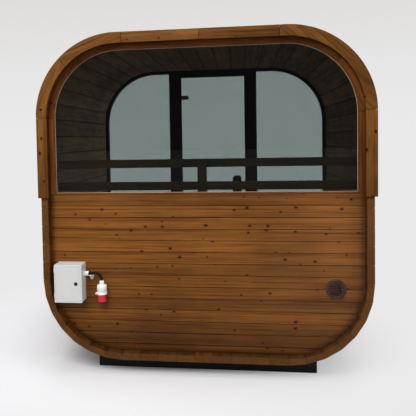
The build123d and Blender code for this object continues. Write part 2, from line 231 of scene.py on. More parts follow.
# %% Noise and colour
def noise(tree, vector, scale=1.0, detail=2.0, roughness=0.5, distortion=0.0):
    made = add_node(tree, "ShaderNodeTexNoise", {
        "Vector": vector, "Scale": scale, "Detail": detail, "Roughness": roughness,
        "Distortion": distortion,
    })
    return made.outputs["Fac"]


def grain_noise(tree, grain, along, across, **settings):
    """Noise drawn out along the grain: so many waves a metre along it, and so many across."""
    stretched = vector_math(tree, "MULTIPLY", grain, (along, across, across))
    return noise(tree, stretched, **settings)


def mix_colour(tree, factor, first, second):
    made = add_node(tree, "ShaderNodeMix", {0: factor, 6: first, 7: second}, data_type="RGBA")
    return made.outputs[2]


def random_tone(tree, board, spread):
    """One random number for each board."""
    spot = math_node(tree, "MULTIPLY", board, spread)
    made = add_node(tree, "ShaderNodeTexWhiteNoise", {"W": spot}, noise_dimensions="1D")
    return made.outputs["Value"]


# %% [markdown]
# ## Timber figure
#
# Every timber part is knotty softwood, so one group draws its figure from a "grain" coordinate
# that each piece stores: along the board, across it and into it, in metres. Using stored
# coordinates instead of object coordinates keeps the rings running along each board, also
# round the corners, and a "board" number shifts the pattern so that no two boards match.

# %% [markdown]
# ### Knots
#
# A knot is the root of a branch: a dark round core with a halo of denser wood. Each cell of a
# Voronoi pattern may hold one, which keeps knots apart as they are in real timber. Painted
# spots would do for one board, but not for every board of the cabin.

# %% Knots
KNOT_STRETCH = 0.72
KNOT_RAGGED_SCALE = 160.0
KNOT_RAGGED = 0.004
KNOT_CORE = 0.65
HALO_REACH = 2.3
SMALLEST_KNOT = 0.6
KNOT_SPREAD = 0.8


def knots_of(group, grain, given):
    """Knots sit in some cells of a Voronoi pattern across the face. It has no depth, so each
    knot runs straight through its board, as a branch does."""
    apart = separate(group, grain)
    along = math_node(group, "DIVIDE", apart["X"], given["Knot Spacing"])
    beside = math_node(group, "DIVIDE", apart["Y"], given["Knot Spacing"])
    flat = combine(group, math_node(group, "MULTIPLY", along, KNOT_STRETCH), beside)
    cells = add_node(group, "ShaderNodeTexVoronoi", {"Scale": 1.0, "Vector": flat},
                     voronoi_dimensions="2D").outputs
    ragged = grain_noise(group, grain, KNOT_RAGGED_SCALE, KNOT_RAGGED_SCALE, detail=1.0)
    away = math_node(group, "MULTIPLY", cells["Distance"], given["Knot Spacing"])
    rough_edge = math_node(group, "MULTIPLY_ADD", ragged, KNOT_RAGGED, -KNOT_RAGGED / 2)
    away = math_node(group, "ADD", away, rough_edge)
    chance = add_node(group, "ShaderNodeSeparateColor", {0: cells["Color"]}).outputs
    present = math_node(group, "LESS_THAN", chance[0], given["Knot Share"])
    size = math_node(group, "MULTIPLY_ADD", chance[1], KNOT_SPREAD, SMALLEST_KNOT)
    radius = math_node(group, "MULTIPLY", size, given["Knot Radius"])
    core = remap(group, away, radius, math_node(group, "MULTIPLY", radius, KNOT_CORE))
    around = remap(group, away, math_node(group, "MULTIPLY", radius, HALO_REACH), radius)
    return product(group, core, present), product(group, around, present)


# %% [markdown]
# ### Growth rings
#
# On a sawn board the rings show as long lines of dark late wood that wander a little and give
# way to a knot. A sine wave across the board gives even lines, slow noise makes them wander and
# the knots' halos shift them. A Wave texture draws such lines too, but would be harder to shift
# at each knot.

# %% Growth rings
RING_LEAN = 0.024
RING_PARTING = 0.006
RING_DEPTH_LEAN = 0.7
WANDER_WAVES = (0.9, 9.0)


def late_wood(group, grain, halo, ring_width):
    """Growth rings are lines along the board that lean with slow noise and part round a knot."""
    apart = separate(group, grain)
    lean = grain_noise(group, grain, *WANDER_WAVES, distortion=0.3)
    bend = math_node(group, "MULTIPLY_ADD", halo, RING_PARTING,
                     math_node(group, "MULTIPLY", lean, RING_LEAN))
    across = math_node(group, "ADD", apart["Y"],
                       math_node(group, "MULTIPLY", apart["Z"], RING_DEPTH_LEAN))
    rings = math_node(group, "DIVIDE", math_node(group, "ADD", across, bend), ring_width)
    wave = math_node(group, "SINE", math_node(group, "MULTIPLY", rings, 2 * math.pi))
    return remap(group, wave, -0.2, 1.0)


# %% [markdown]
# ### The whole figure
#
# Fibres, streaks of stain, rings and knots come together in one group, so all timbers share them
# and differ only in colours and in the group's named inputs. The same nodes copied into each
# material would look alike, but could not be changed in one place. Each pair of waves below is
# how often a noise changes in a metre, along the board and across it.

# %% Timber figure group
RING_SHARE = 0.26
FIBRE_SHARE = 0.44
STREAK_SHARE = 0.66
BOARD_SHIFT = (61.7, 23.3, 11.9)
FIBRE_WAVES = (3.0, 190.0)
STREAK_WAVES = (0.9, 58.0)
BAND_WAVES = (0.4, 21.0)
BAND_RANGE = (0.4, 0.7)


def timber_figure():
    inputs = [("Grain", "Vector"), ("Board", "Float", 0.0), ("Knot Spacing", "Float", 0.075),
              ("Knot Radius", "Float", 0.0065), ("Knot Share", "Float", 0.25),
              ("Ring Width", "Float", 0.011)]
    outputs = [(label, "Float")
               for label in ("Figure", "Knots", "Halo", "Streak", "Tone", "Height")]
    group, given, result = new_group("Timber figure", "ShaderNodeTree", inputs, outputs)
    shift = vector_math(group, "SCALE", BOARD_SHIFT, given["Board"])
    grain = vector_math(group, "ADD", given["Grain"], shift)
    knots, halo = knots_of(group, grain, given)
    late = late_wood(group, grain, halo, given["Ring Width"])
    fibre = grain_noise(group, grain, *FIBRE_WAVES, detail=3.0, roughness=0.65)
    streak = grain_noise(group, grain, *STREAK_WAVES, detail=4.0, roughness=0.72)
    # The rings are strong in some bands and faint in others, which is why slow noise scales them.
    marked = remap(group, grain_noise(group, grain, *BAND_WAVES), *BAND_RANGE)
    figure = math_node(group, "MULTIPLY_ADD", fibre, FIBRE_SHARE,
                       product(group, late, marked, RING_SHARE))
    set_inputs(group, result, {
        "Figure": math_node(group, "MULTIPLY_ADD", streak, STREAK_SHARE, figure),
        "Knots": knots,
        "Halo": halo,
        "Streak": streak,
        "Tone": random_tone(group, given["Board"], 913.0),
        "Height": math_node(group, "MULTIPLY_ADD", fibre, 0.5,
                            math_node(group, "MULTIPLY", late, 0.5)),
    })
    return group


TIMBER = timber_figure()
print("timber figure nodes", len(TIMBER.nodes))

# %% [markdown]
# ## Surface wear
#
# No real finish is even. A second group gives slow patches and fine specks over the object's own
# coordinates, and each finish decides how much of them it shows. A photographed dirt map would
# be richer, but it would have to be fitted to every piece.


# %% Surface wear group
def surface_wear():
    group, given, result = new_group(
        "Surface wear", "ShaderNodeTree", [("Position", "Vector"), ("Patch Size", "Float", 0.4)],
        [("Mottle", "Float"), ("Speckle", "Float")])
    scaled = vector_math(group, "SCALE", given["Position"],
                         math_node(group, "DIVIDE", 1.0, given["Patch Size"]))
    set_inputs(group, result, {
        "Mottle": noise(group, scaled, detail=3.0, roughness=0.55),
        "Speckle": noise(group, scaled, scale=60.0, roughness=0.7),
    })
    return group


WEAR = surface_wear()
print("surface wear nodes", len(WEAR.nodes))

# %% [markdown]
# ## Starting a material
#
# Every material starts as a Principled shader, reads places in the object's own metres and gets
# its patches from the wear group. These few lines are the same each time, so they are helpers.


# %% Parts that every material uses
def new_material(name):
    material = bpy.data.materials.new(name)
    material.use_nodes = True
    return material, material.node_tree, material.node_tree.nodes["Principled BSDF"]


def object_position(tree):
    return tree.nodes.new("ShaderNodeTexCoord").outputs["Object"]


def wear_of(tree, patch_size):
    inputs = {"Position": object_position(tree), "Patch Size": patch_size}
    return add_node(tree, "ShaderNodeGroup", inputs, node_tree=WEAR).outputs


def board_number(tree):
    return add_node(tree, "ShaderNodeAttribute", attribute_name="board").outputs["Fac"]


def add_bump(tree, shader, height, distance, strength):
    bump = add_node(tree, "ShaderNodeBump",
                    {"Height": height, "Distance": distance, "Strength": strength})
    set_inputs(tree, shader, {"Normal": bump.outputs[0]})


# %% [markdown]
# ## Oiled timber
#
# The boards in the photograph are a warm orange-brown oil stain on spruce: black-brown knots,
# dark latewood lines and a different depth of stain on each board. Base colours are linear. The
# wall is darker towards its foot, painted shade darkens it next to the rim and the staves' faces in
# the end recesses, and the joints between boards carry painted shade because little light reaches
# them. A photographed wood texture would repeat over so many boards.
# A range below is two values of a noise and, where four numbers stand, what they turn into.


# %% Depth inside the shell
def depth_in_shell(tree):
    """How far a point lies inside the shell's outer face, in metres."""
    place = separate(tree, object_position(tree))
    height = math_node(tree, "SUBTRACT", place["Z"], centre_z)
    squares = []
    for part in (place["X"], height):
        past = math_node(tree, "SUBTRACT", math_node(tree, "ABSOLUTE", part), straight)
        past = math_node(tree, "MAXIMUM", past, 0.0)
        squares.append(math_node(tree, "MULTIPLY", past, past))
    reach = math_node(tree, "SQRT", math_node(tree, "ADD", *squares))
    return math_node(tree, "SUBTRACT", CORNER_RADIUS, reach)


# %% Shades of the rear wall
# Heights over which the wall turns darker towards its foot, and how dark it gets there.
FOOT_DARK_LOW = 0.24
FOOT_DARK_HIGH = 0.56
FOOT_DARK_UNEVEN = 0.12
FOOT_SHADE = 0.6
GROOVE_START = 0.0009
GROOVE_FULL = 0.0022
GROOVE_SHADE = 0.48


def wall_shades(tree, mottle):
    """A darker band at the wall's foot, and painted shade in the joints between its boards."""
    place = separate(tree, object_position(tree))
    uneven = math_node(tree, "MULTIPLY_ADD", mottle, FOOT_DARK_UNEVEN, place["Z"])
    foot = remap(tree, uneven, FOOT_DARK_LOW, FOOT_DARK_HIGH, FOOT_SHADE, 1.0)
    # Painted shade on the groove faces between boards, set back from the wall's face.
    groove = remap(tree, place["Y"], wall_low.y + GROOVE_START, wall_low.y + GROOVE_FULL,
                   1.0, GROOVE_SHADE)
    return foot, groove


print("foot darkening reaches", FOOT_DARK_HIGH, "m, groove shade", GROOVE_SHADE)

# %% Grain of a piece
CAD_BOARD = 0.37


def grain_source(tree, along):
    """Stored grain, or for a CAD node its object coordinates with the given axis first."""
    if along is None:
        stored = add_node(tree, "ShaderNodeAttribute", attribute_name="grain")
        return stored.outputs["Vector"], board_number(tree)
    place = separate(tree, object_position(tree))
    order = {"X": "XZY", "Z": "ZXY"}[along]
    return combine(tree, *[place[axis] for axis in order]), CAD_BOARD


# %% Oiled timber
GRAIN_BUMP = 0.0006
TIMBER_PATCH = 0.55
MOTTLE_RANGE = (0.3, 0.7)
MOTTLE_SHADES = (0.84, 1.12)
SMEAR_WAVES = (5.0, 34.0)
SMEAR_RANGE = (0.38, 0.66)
FIGURE_RANGE = (0.42, 0.82)
STREAK_RANGE = (0.5, 0.72, 0.0, 0.75)
HALO_RANGE = (0.1, 1.0, 0.0, 0.5)
REDDER = (0.95, 0.7, 0.5)


def oiled_timber(name, light, dark, knot=(0.007, 0.0035, 0.002), knot_share=0.25,
                 knot_radius=0.0066, ring_width=0.009, tone_swing=0.2, roughness=0.5,
                 specular=0.22, smears=0.25, painted_rim_shade=None, on_wall=False, along=None):
    """The rim shade is two depths in the shell and the shade at each, painted shade near the rim.
    """
    material, tree, shader = new_material(name)
    grain, board = grain_source(tree, along)
    timber = add_node(tree, "ShaderNodeGroup", node_tree=TIMBER)
    set_inputs(tree, timber, {"Grain": grain, "Board": board, "Knot Radius": knot_radius,
                              "Knot Share": knot_share, "Ring Width": ring_width})
    figure = timber.outputs
    mottle = wear_of(tree, TIMBER_PATCH)["Mottle"]
    smear = grain_noise(tree, grain, *SMEAR_WAVES, detail=4.0, roughness=0.65)
    shades = [
        remap(tree, figure["Tone"], 0.0, 1.0, 1.0 - tone_swing, 1.0 + tone_swing),
        remap(tree, mottle, *MOTTLE_RANGE, *MOTTLE_SHADES),
        remap(tree, smear, *SMEAR_RANGE, 1.0 + 0.3 * smears, 1.0 - smears),
    ]
    # Painted shade near the shell's rim and on the recess faces, where little light reaches.
    if painted_rim_shade:
        shades.append(remap(tree, depth_in_shell(tree), *painted_rim_shade))
    if on_wall:
        shades.extend(wall_shades(tree, mottle))
    reddish = tuple(v * f for v, f in zip(dark, REDDER))
    colour = mix_colour(tree, remap(tree, figure["Figure"], *FIGURE_RANGE), light, dark)
    colour = mix_colour(tree, remap(tree, figure["Streak"], *STREAK_RANGE), colour, reddish)
    colour = vector_math(tree, "SCALE", colour, product(tree, *shades))
    colour = mix_colour(tree, remap(tree, figure["Halo"], *HALO_RANGE), colour, reddish)
    rough = remap(tree, figure["Figure"], 0.2, 0.9, roughness + 0.08, roughness - 0.06)
    set_inputs(tree, shader, {
        "Base Color": mix_colour(tree, figure["Knots"], colour, knot),
        "Roughness": rough,
        "Specular IOR Level": specular,
    })
    add_bump(tree, shader, figure["Height"], GRAIN_BUMP, 0.5)
    return material


# %% [markdown]
# ## Sawn ends
#
# A sawn stave end shows no lines along the grain: it is a mottled, thirsty face with a hint of
# rings. The timber figure could be turned end on, but the ends are so small in the picture that
# two noises and a sine wave do as well.

# %% Sawn ends
END_RINGS = 40.0
END_RING_SHARE = 0.07
END_SHIFT = (31.0, 0.0, 17.0)
END_BROAD = 14.0
END_FINE = 240.0


def end_grain(name, light, dark):
    material, tree, shader = new_material(name)
    board = board_number(tree)
    shift = vector_math(tree, "SCALE", END_SHIFT, board)
    own = vector_math(tree, "ADD", object_position(tree), shift)
    broad = noise(tree, own, scale=END_BROAD)
    fine = noise(tree, own, scale=END_FINE, roughness=0.7)
    rings = math_node(tree, "SINE", math_node(tree, "MULTIPLY", broad, END_RINGS))
    figure = math_node(tree, "MULTIPLY_ADD", rings, END_RING_SHARE, fine)
    colour = mix_colour(tree, remap(tree, figure, 0.2, 0.9), light, dark)
    shade = remap(tree, random_tone(tree, board, 517.0), 0.0, 1.0, 0.86, 1.1)
    set_inputs(tree, shader, {"Base Color": vector_math(tree, "SCALE", colour, shade),
                              "Roughness": 0.8, "Specular IOR Level": 0.1})
    add_bump(tree, shader, fine, GRAIN_BUMP, 0.6)
    return material


# %% [markdown]
# ## Paint, plastic, rubber, felt and metal
#
# These differ in a few numbers only, so one function makes them all. Colour and roughness change
# slowly over each piece, by a named swing, because a perfectly even surface looks drawn. A plain
# colour would be enough for pieces that are never seen close.

# %% Plain finishes
SPECK_RANGE = (0.5, 0.72)
ROUGHNESS_SWING = 0.12


def plain_finish(name, colour, roughness, metallic=0.0, swing=0.12, patch=0.25, bump=0.0,
                 coat=0.0, speckle=0.0):
    material, tree, shader = new_material(name)
    wear = wear_of(tree, patch)
    low = tuple(v * (1 - swing) for v in colour)
    high = tuple(min(1.0, v * (1 + swing)) for v in colour)
    base = mix_colour(tree, remap(tree, wear["Mottle"], *MOTTLE_RANGE), low, high)
    if speckle:
        dust = tuple(min(1.0, v + speckle) for v in colour)
        base = mix_colour(tree, remap(tree, wear["Speckle"], *SPECK_RANGE), base, dust)
    rough = remap(tree, wear["Mottle"], *MOTTLE_RANGE, roughness * (1 - ROUGHNESS_SWING),
                  min(1.0, roughness * (1 + ROUGHNESS_SWING)))
    set_inputs(tree, shader, {"Base Color": base, "Roughness": rough, "Metallic": metallic,
                              "Coat Weight": coat})
    if bump:
        add_bump(tree, shader, wear["Speckle"], bump, 0.4)
    return material


# %% [markdown]
# ## Glass
#
# The rear window is tinted and the front is clear. Both keep plain values for metallic and
# transmission, which other programs can read, and only the tint varies a little, as if the glass
# were not quite clean. A mostly transparent shader would render faster, but it would neither
# bend nor mirror the daylight as a pane does.

# %% Glass
GLASS_PATCH = 0.7
GLASS_DIRT = 0.96


def glass(name, tint):
    material, tree, shader = new_material(name)
    dirty = tuple(v * GLASS_DIRT for v in tint)
    set_inputs(tree, shader, {
        "Base Color": mix_colour(tree, wear_of(tree, GLASS_PATCH)["Mottle"], tint, dirty),
        "Roughness": 0.0, "Metallic": 0.0, "Transmission Weight": 1.0, "IOR": 1.5,
    })
    return material


# %% [markdown]
# ## Finishes of this cabin
#
# The colours were matched to the photograph one by one. Timber that the photograph does not
# reach, such as the door handle, takes a close relative of one that it shows.

# %% Timber outside and in
# The rim shades are painted shade: darker wall next to the shell, darker stave faces in the end
# recesses.
wall_timber = oiled_timber("Wall board", (0.203, 0.0765, 0.0135), (0.09, 0.0285, 0.0048),
                           knot_radius=0.0064, ring_width=0.012, smears=0.1,
                           painted_rim_shade=(0.05, 0.1, 0.45, 1.0), on_wall=True)
stave_timber = oiled_timber("Stave outside", (0.19, 0.072, 0.016), (0.09, 0.031, 0.006),
                            ring_width=0.012, tone_swing=0.22, painted_rim_shade=(0.03, 0.049, 1.0, 0.5))
inside_timber = oiled_timber("Stave inside", (0.56, 0.37, 0.22), (0.36, 0.22, 0.125),
                             ring_width=0.012, knot=(0.05, 0.03, 0.018), tone_swing=0.15,
                             roughness=0.6)
stave_end = end_grain("Stave end", (0.138, 0.056, 0.0155), (0.064, 0.0245, 0.0062))
fascia_timber = oiled_timber("Fascia board", (0.153, 0.06, 0.0125), (0.08, 0.029, 0.0062),
                             knot_share=0.3, tone_swing=0.18, smears=0.22, specular=0.14)
window_timber = oiled_timber("Window frame", (0.19, 0.062, 0.012), (0.075, 0.022, 0.004),
                             tone_swing=0.12)
bead_timber = oiled_timber("Glazing bead", (0.19, 0.065, 0.015), (0.1, 0.033, 0.007),
                           knot_share=0.0)
print("timbers", wall_timber.name, stave_timber.name, inside_timber.name, fascia_timber.name)

# %% Timber of the front and the backrest
BLACK_LIGHT = (0.014, 0.011, 0.009)
BLACK_DARK = (0.007, 0.006, 0.005)
RAIL_LIGHT = (0.25, 0.125, 0.045)
RAIL_DARK = (0.14, 0.066, 0.022)
front_timber, lintel_timber = [
    oiled_timber(name, BLACK_LIGHT, BLACK_DARK, knot_share=0.1, tone_swing=0.1, roughness=0.45,
                 along=axis)
    for name, axis in (("Black front frame", "Z"), ("Black lintel", "X"))]
rail_timber, post_timber = [
    oiled_timber(name, RAIL_LIGHT, RAIL_DARK, knot_share=0.15, along=axis)
    for name, axis in (("Backrest rail", "X"), ("Backrest post", "Z"))]
handle_timber = oiled_timber("Door handle", (0.14, 0.075, 0.035), (0.08, 0.04, 0.018),
                             knot_share=0.0, along="Z")
print("front and backrest timbers", front_timber.name, rail_timber.name)

# %% Glass, paint, plastic and metal
tinted_glass = glass("Tinted glass", (0.3, 0.345, 0.335))
clear_glass = glass("Clear glass", (0.87, 0.92, 0.91))
sealant = plain_finish("Glazing sealant", (0.33, 0.23, 0.14), 0.5, swing=0.15, patch=0.12)
bearer_black = plain_finish("Black bearer", (0.009, 0.009, 0.0095), 0.62, swing=0.3, patch=0.2,
                            bump=0.001, speckle=0.012)
shingle_felt = plain_finish("Bitumen shingle", (0.035, 0.028, 0.024), 0.92, swing=0.35, patch=0.35,
                            bump=0.0012, speckle=0.05)
box_paint = plain_finish("Box powder coat", (0.63, 0.645, 0.645), 0.42, swing=0.025, patch=0.2,
                         bump=0.0003)
white_plastic = plain_finish("White moulding", (0.86, 0.86, 0.83), 0.32, swing=0.03, patch=0.08)
vent_brown = plain_finish("Vent moulding", (0.056, 0.0165, 0.012), 0.3, swing=0.15, patch=0.08,
                          coat=1.0)
cable_rubber = plain_finish("Cable rubber", (0.006, 0.006, 0.0065), 0.62, swing=0.15, patch=0.05,
                            bump=0.0002)
satin_metal = plain_finish("Satin metal", (0.46, 0.46, 0.47), 0.33, metallic=1.0, swing=0.06,
                           patch=0.06)
screw_steel = plain_finish("Screw steel", (0.3, 0.28, 0.26), 0.4, metallic=1.0, patch=0.03)
print("materials in the file", len(bpy.data.materials))

# %% [markdown]
# ## Building blocks
#
# A piece is a plain mesh at the origin with its place in its vertices. Boards, shingles, rings
# and screws are all the same idea: rings of points with faces between them, so one function skins
# them. "grain" and "board" are stored on each point before anything is joined or repeated.

# %% Skinned solids
X_AXIS = Vector((1, 0, 0))
Y_AXIS = Vector((0, 1, 0))
Z_AXIS = Vector((0, 0, 1))


def solid(name, rings, closed=False, ease=0.0, segments=2, eased="ends"):
    """Faces between rings of points, capped at both ends unless the last ring joins the first.
    The edges round the caps, or all the others, are eased."""
    work = bmesh.new()
    rings = [[work.verts.new(point) for point in ring] for ring in rings]
    pairs = list(zip(rings, rings[1:]))
    caps = []
    if closed:
        pairs.append((rings[-1], rings[0]))
    else:
        caps = [work.faces.new(list(reversed(rings[0]))), work.faces.new(rings[-1])]
    for first, second in pairs:
        for i in range(len(first)):
            j = (i + 1) % len(first)
            work.faces.new((first[i], first[j], second[j], second[i]))
    if ease:
        edges = [edge for edge in work.edges
                 if any(face in caps for face in edge.link_faces) == (eased == "ends")]
        bmesh.ops.bevel(work, geom=edges, offset=ease, segments=segments, affect="EDGES",
                        profile=0.5, clamp_overlap=True)
    bmesh.ops.recalc_face_normals(work, faces=work.faces)
    mesh = bpy.data.meshes.new(name)
    work.to_mesh(mesh)
    work.free()
    return mesh


def prism(outline, y_stations, bevel, segments=2):
    """An outline in X and Z carried over two or more places along Y, its rims eased."""
    rings = [[(x, y, z) for x, z in outline] for y in y_stations]
    return solid("prism", rings, ease=bevel, segments=segments)


# %% Grain stored on a mesh
def store_boards(mesh, numbers):
    made = mesh.attributes.new("board", "FLOAT", "POINT")
    made.data.foreach_set("value", numbers)


def store_grain(mesh, along, across, board=None):
    """Without a board number the tree that repeats the piece gives each copy its own."""
    depth = along.cross(across)
    values = []
    for vertex in mesh.vertices:
        values.extend(vertex.co.dot(axis) for axis in (along, across, depth))
    made = mesh.attributes.new("grain", "FLOAT_VECTOR", "POINT")
    made.data.foreach_set("vector", values)
    if board is not None:
        store_boards(mesh, [board] * len(mesh.vertices))


def store_face_mark(mesh, name, marks):
    made = mesh.attributes.new(name, "BOOLEAN", "FACE")
    made.data.foreach_set("value", marks)


# %% Pieces
def add_piece(name, mesh, material=None):
    piece = bpy.data.objects.new(name, mesh)
    bpy.context.scene.collection.objects.link(piece)
    if material is not None:
        mesh.materials.append(material)
    return piece


def join_meshes(name, meshes, material):
    parts = [add_piece(name, mesh) for mesh in meshes]
    with bpy.context.temp_override(active_object=parts[0], selected_editable_objects=parts):
        bpy.ops.object.join()
    parts[0].data.materials.append(material)
    return parts[0]


def shade_smooth(piece, angle):
    """Smooth faces, but a sharp line where two meet at more than the angle in degrees."""
    piece.data.shade_smooth()
    piece.data.set_sharp_from_angle(angle=math.radians(angle))


# %% [markdown]
# ### Modifiers made real
#
# Layouts and round cuts are made by modifiers, which leave the piece's own mesh as it was.
# Reading back the evaluated piece keeps their result as plain mesh. The Apply button does the
# same by hand for one piece.


# %% Baking, running a tree and round cuts
def baked(piece):
    """The piece with its modifiers turned into plain mesh."""
    graph = bpy.context.evaluated_depsgraph_get()
    mesh = bpy.data.meshes.new_from_object(piece.evaluated_get(graph), depsgraph=graph)
    piece.modifiers.clear()
    piece.data = mesh
    return piece


def run_tree(piece, tree, values):
    """Runs a layout tree on the piece and keeps the result as plain mesh."""
    modifier = piece.modifiers.new(tree.name, "NODES")
    modifier.node_group = tree
    for item in tree.interface.items_tree:
        if item.in_out == "INPUT" and item.name in values:
            modifier[item.identifier] = values[item.name]
    return baked(piece)


def cut_round(piece, operation, centre, radius, depth, sides):
    """Cuts a round hole along Y, or keeps only what lies inside it."""
    bpy.ops.mesh.primitive_cylinder_add(vertices=sides, radius=radius, depth=depth,
                                        location=centre, rotation=(math.pi / 2, 0, 0))
    drum = bpy.context.object
    cut = piece.modifiers.new("Cut", "BOOLEAN")
    cut.operation = operation
    cut.solver = "EXACT"
    cut.object = drum
    baked(piece)
    bpy.data.objects.remove(drum)


# %% [markdown]
# ### Laying out repeated pieces
#
# Staves, louvres and screws are one shape placed many times. A node tree does it: each point of
# a layout mesh carries its turn, the tree puts the piece there, gives it its own board number
# and makes it real. Copying the piece in a loop would do too, but a tree keeps the layout and the
# shape apart, so either can change alone.


# %% Tree that sets pieces out on points
def named_attribute(tree, name, sort):
    made = add_node(tree, "GeometryNodeInputNamedAttribute", data_type=sort)
    set_inputs(tree, made, {"Name": name})
    return made.outputs["Attribute"]


def set_out_tree():
    tree, given, result = new_group("Set pieces out", "GeometryNodeTree", [
        ("Layout", "Geometry"), ("Piece", "Object"), ("Face Material", "Material"),
        ("End Material", "Material"), ("Inner Material", "Material"), ("Seed", "Int"),
    ], [("Pieces", "Geometry")])
    shape = add_node(tree, "GeometryNodeObjectInfo",
                     {"As Instance": True, "Object": given["Piece"]})
    turn = add_node(tree, "FunctionNodeEulerToRotation",
                    {0: named_attribute(tree, "turn", "FLOAT_VECTOR")})
    place = add_node(tree, "GeometryNodeInstanceOnPoints", {
        "Points": given["Layout"], "Instance": shape.outputs["Geometry"],
        "Rotation": turn.outputs[0],
    })
    chance = add_node(tree, "FunctionNodeRandomValue", {"Seed": given["Seed"]}, data_type="FLOAT")
    number = add_node(tree, "GeometryNodeStoreNamedAttribute", {
        "Name": "board", "Geometry": place.outputs[0], "Value": chance.outputs[1],
    }, data_type="FLOAT", domain="INSTANCE")
    painted = add_node(tree, "GeometryNodeRealizeInstances", {0: number.outputs[0]}).outputs[0]
    for label, mark in (("Face Material", None), ("End Material", "is_end"),
                        ("Inner Material", "is_inner")):
        inputs = {"Geometry": painted, "Material": given[label]}
        if mark:
            inputs["Selection"] = named_attribute(tree, mark, "BOOLEAN")
        painted = add_node(tree, "GeometryNodeSetMaterial", inputs).outputs[0]
    set_inputs(tree, result, {"Pieces": painted})
    return tree


SET_OUT = set_out_tree()
print("set-out nodes", len(SET_OUT.nodes))


# %% Setting a piece out
def set_out(name, template, places, face_material, end_material=None, inner_material=None,
            seed=RANDOM_SEED):
    """places is a list of (position, Euler turn). The template mesh is put on each of them."""
    layout = bpy.data.meshes.new(name + " layout")
    layout.from_pydata([tuple(position) for position, _ in places], [], [])
    turns = layout.attributes.new("turn", "FLOAT_VECTOR", "POINT")
    turns.data.foreach_set("vector", [v for _, turn in places for v in turn])
    shape = add_piece(name + " shape", template)
    piece = run_tree(add_piece(name, layout), SET_OUT, {
        "Piece": shape, "Seed": seed, "Face Material": face_material,
        "End Material": end_material or face_material,
        "Inner Material": inner_material or face_material,
    })
    bpy.data.objects.remove(shape)
    print(name, len(places), "places,", len(piece.data.polygons), "faces")
    return piece


# %% [markdown]
# ## Staves
#
# The shell is tongued staves about 129 mm wide. Round the corners each stave is a flat-faced
# wedge, so the outline there is a polygon with its corners on the drawn arc, as the photograph
# shows it. Each stave has eased edges, which read as a fine line between neighbours. A swept tube
# with painted lines would lose those facets. The stain goes on after the staves are up, so the
# faces inside the room stay pale and those of the open recess at each end are brown.

# %% Stave shape
STAVES_PER_FLAT = 9
STAVES_PER_CORNER = 7
STAVE_EASE = 0.0035
STAVE_RIM_EASE = 0.0015
STAVE_JOINT = 0.0006
FACING = 0.9
flat_cover = 2 * straight / STAVES_PER_FLAT
half_step = math.pi / 4 / STAVES_PER_CORNER
inner_radius = CORNER_RADIUS - STAVE_THICKNESS


def stave_mesh(outer_half, inner_half, outer_z, inner_z):
    """Half widths and heights of the outer and the inner face, over the cabin's length."""
    ease = STAVE_EASE
    right = [(outer_half - ease, outer_z), (outer_half, outer_z - ease),
             (inner_half, inner_z + ease), (inner_half - ease, inner_z)]
    outline = right + [(-x, z) for x, z in reversed(right)]
    stations = [y - middle_y for y in (rear_end, wall_high.y, frame_back.y, front_end)]
    mesh = prism(outline, stations, STAVE_RIM_EASE, segments=1)
    store_grain(mesh, Y_AXIS, X_AXIS)
    store_face_mark(mesh, "is_end", [abs(face.normal.y) > FACING for face in mesh.polygons])
    store_face_mark(mesh, "is_inner", [
        face.normal.z < -FACING and stations[1] < face.center.y < stations[2]
        for face in mesh.polygons])
    return mesh


flat_half = flat_cover / 2 - STAVE_JOINT / 2
flat_stave = stave_mesh(flat_half, flat_half, 0.0, -STAVE_THICKNESS)
wedge_outer = CORNER_RADIUS * math.sin(half_step) - STAVE_JOINT / 2
wedge_inner = inner_radius * math.tan(half_step) - STAVE_JOINT / 2
wedge_stave = stave_mesh(wedge_outer, wedge_inner, CORNER_RADIUS * math.cos(half_step),
                         inner_radius)
print("stave cover", round(flat_cover, 4), "faces", len(flat_stave.polygons))


# %% Staves round the shell
def on_four_sides(spots):
    """Each (x, z, turn) of the roof side, repeated on all four sides of the shell."""
    places = []
    for quarter in [side * math.pi / 2 for side in range(4)]:
        for x, z, turn in spots:
            spot = Vector((x, 0, z))
            spot.rotate(Euler((0, quarter, 0)))
            place = Vector((spot.x, middle_y, spot.z + centre_z))
            places.append((place, Euler((0, quarter + turn, 0))))
    return places


flat_spots = [((index + 0.5) * flat_cover - straight, half_height, 0.0)
              for index in range(STAVES_PER_FLAT)]
corner_spots = [(straight, straight, (2 * index + 1) * half_step)
                for index in range(STAVES_PER_CORNER)]
flat_staves = set_out("flat_staves", flat_stave, on_four_sides(flat_spots), stave_timber,
                      stave_end, inside_timber, seed=3)
corner_staves = set_out("corner_staves", wedge_stave, on_four_sides(corner_spots), stave_timber,
                        stave_end, inside_timber, seed=5)
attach(flat_staves, "cabin")
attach(corner_staves, "cabin")
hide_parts("shell_floor", "shell_roof", "shell_left", "shell_right")
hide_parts("shell_corner_lower_left", "shell_corner_lower_right",
            "shell_corner_upper_left", "shell_corner_upper_right")

# %% [markdown]
# ## Rear wall boards
#
# Level boards that cover about 80 mm, tongued, with a small bevel on each edge. Their ends follow
# the rounded corner of the shell, which is why each board is drawn strip by strip at the width
# the corner leaves at that height. A scaled copy of one board would stick out of the curve. Only
# the outside is stained; the faces towards the room are as pale as the staves there.

# %% One wall board
WALL_BOARD_COVER = 0.0828
BOARD_BEVEL = 0.0032
BOARD_STRIPS = 6
BOARD_JOINT = 0.00005
GROOVE_LIP = 0.0006
GROOVE_DEPTH = 0.003
GROOVE_FLOOR = 0.009
WALL_GAP = 0.0006
wall_inset = STAVE_THICKNESS + WALL_GAP


def half_width_at(z):
    """Half the room's width at a height, less the gap beside the boards."""
    radius = CORNER_RADIUS - wall_inset
    below = centre_z - straight - z
    if below <= 0:
        return half_width - wall_inset
    return straight + math.sqrt(radius ** 2 - min(radius, below) ** 2)


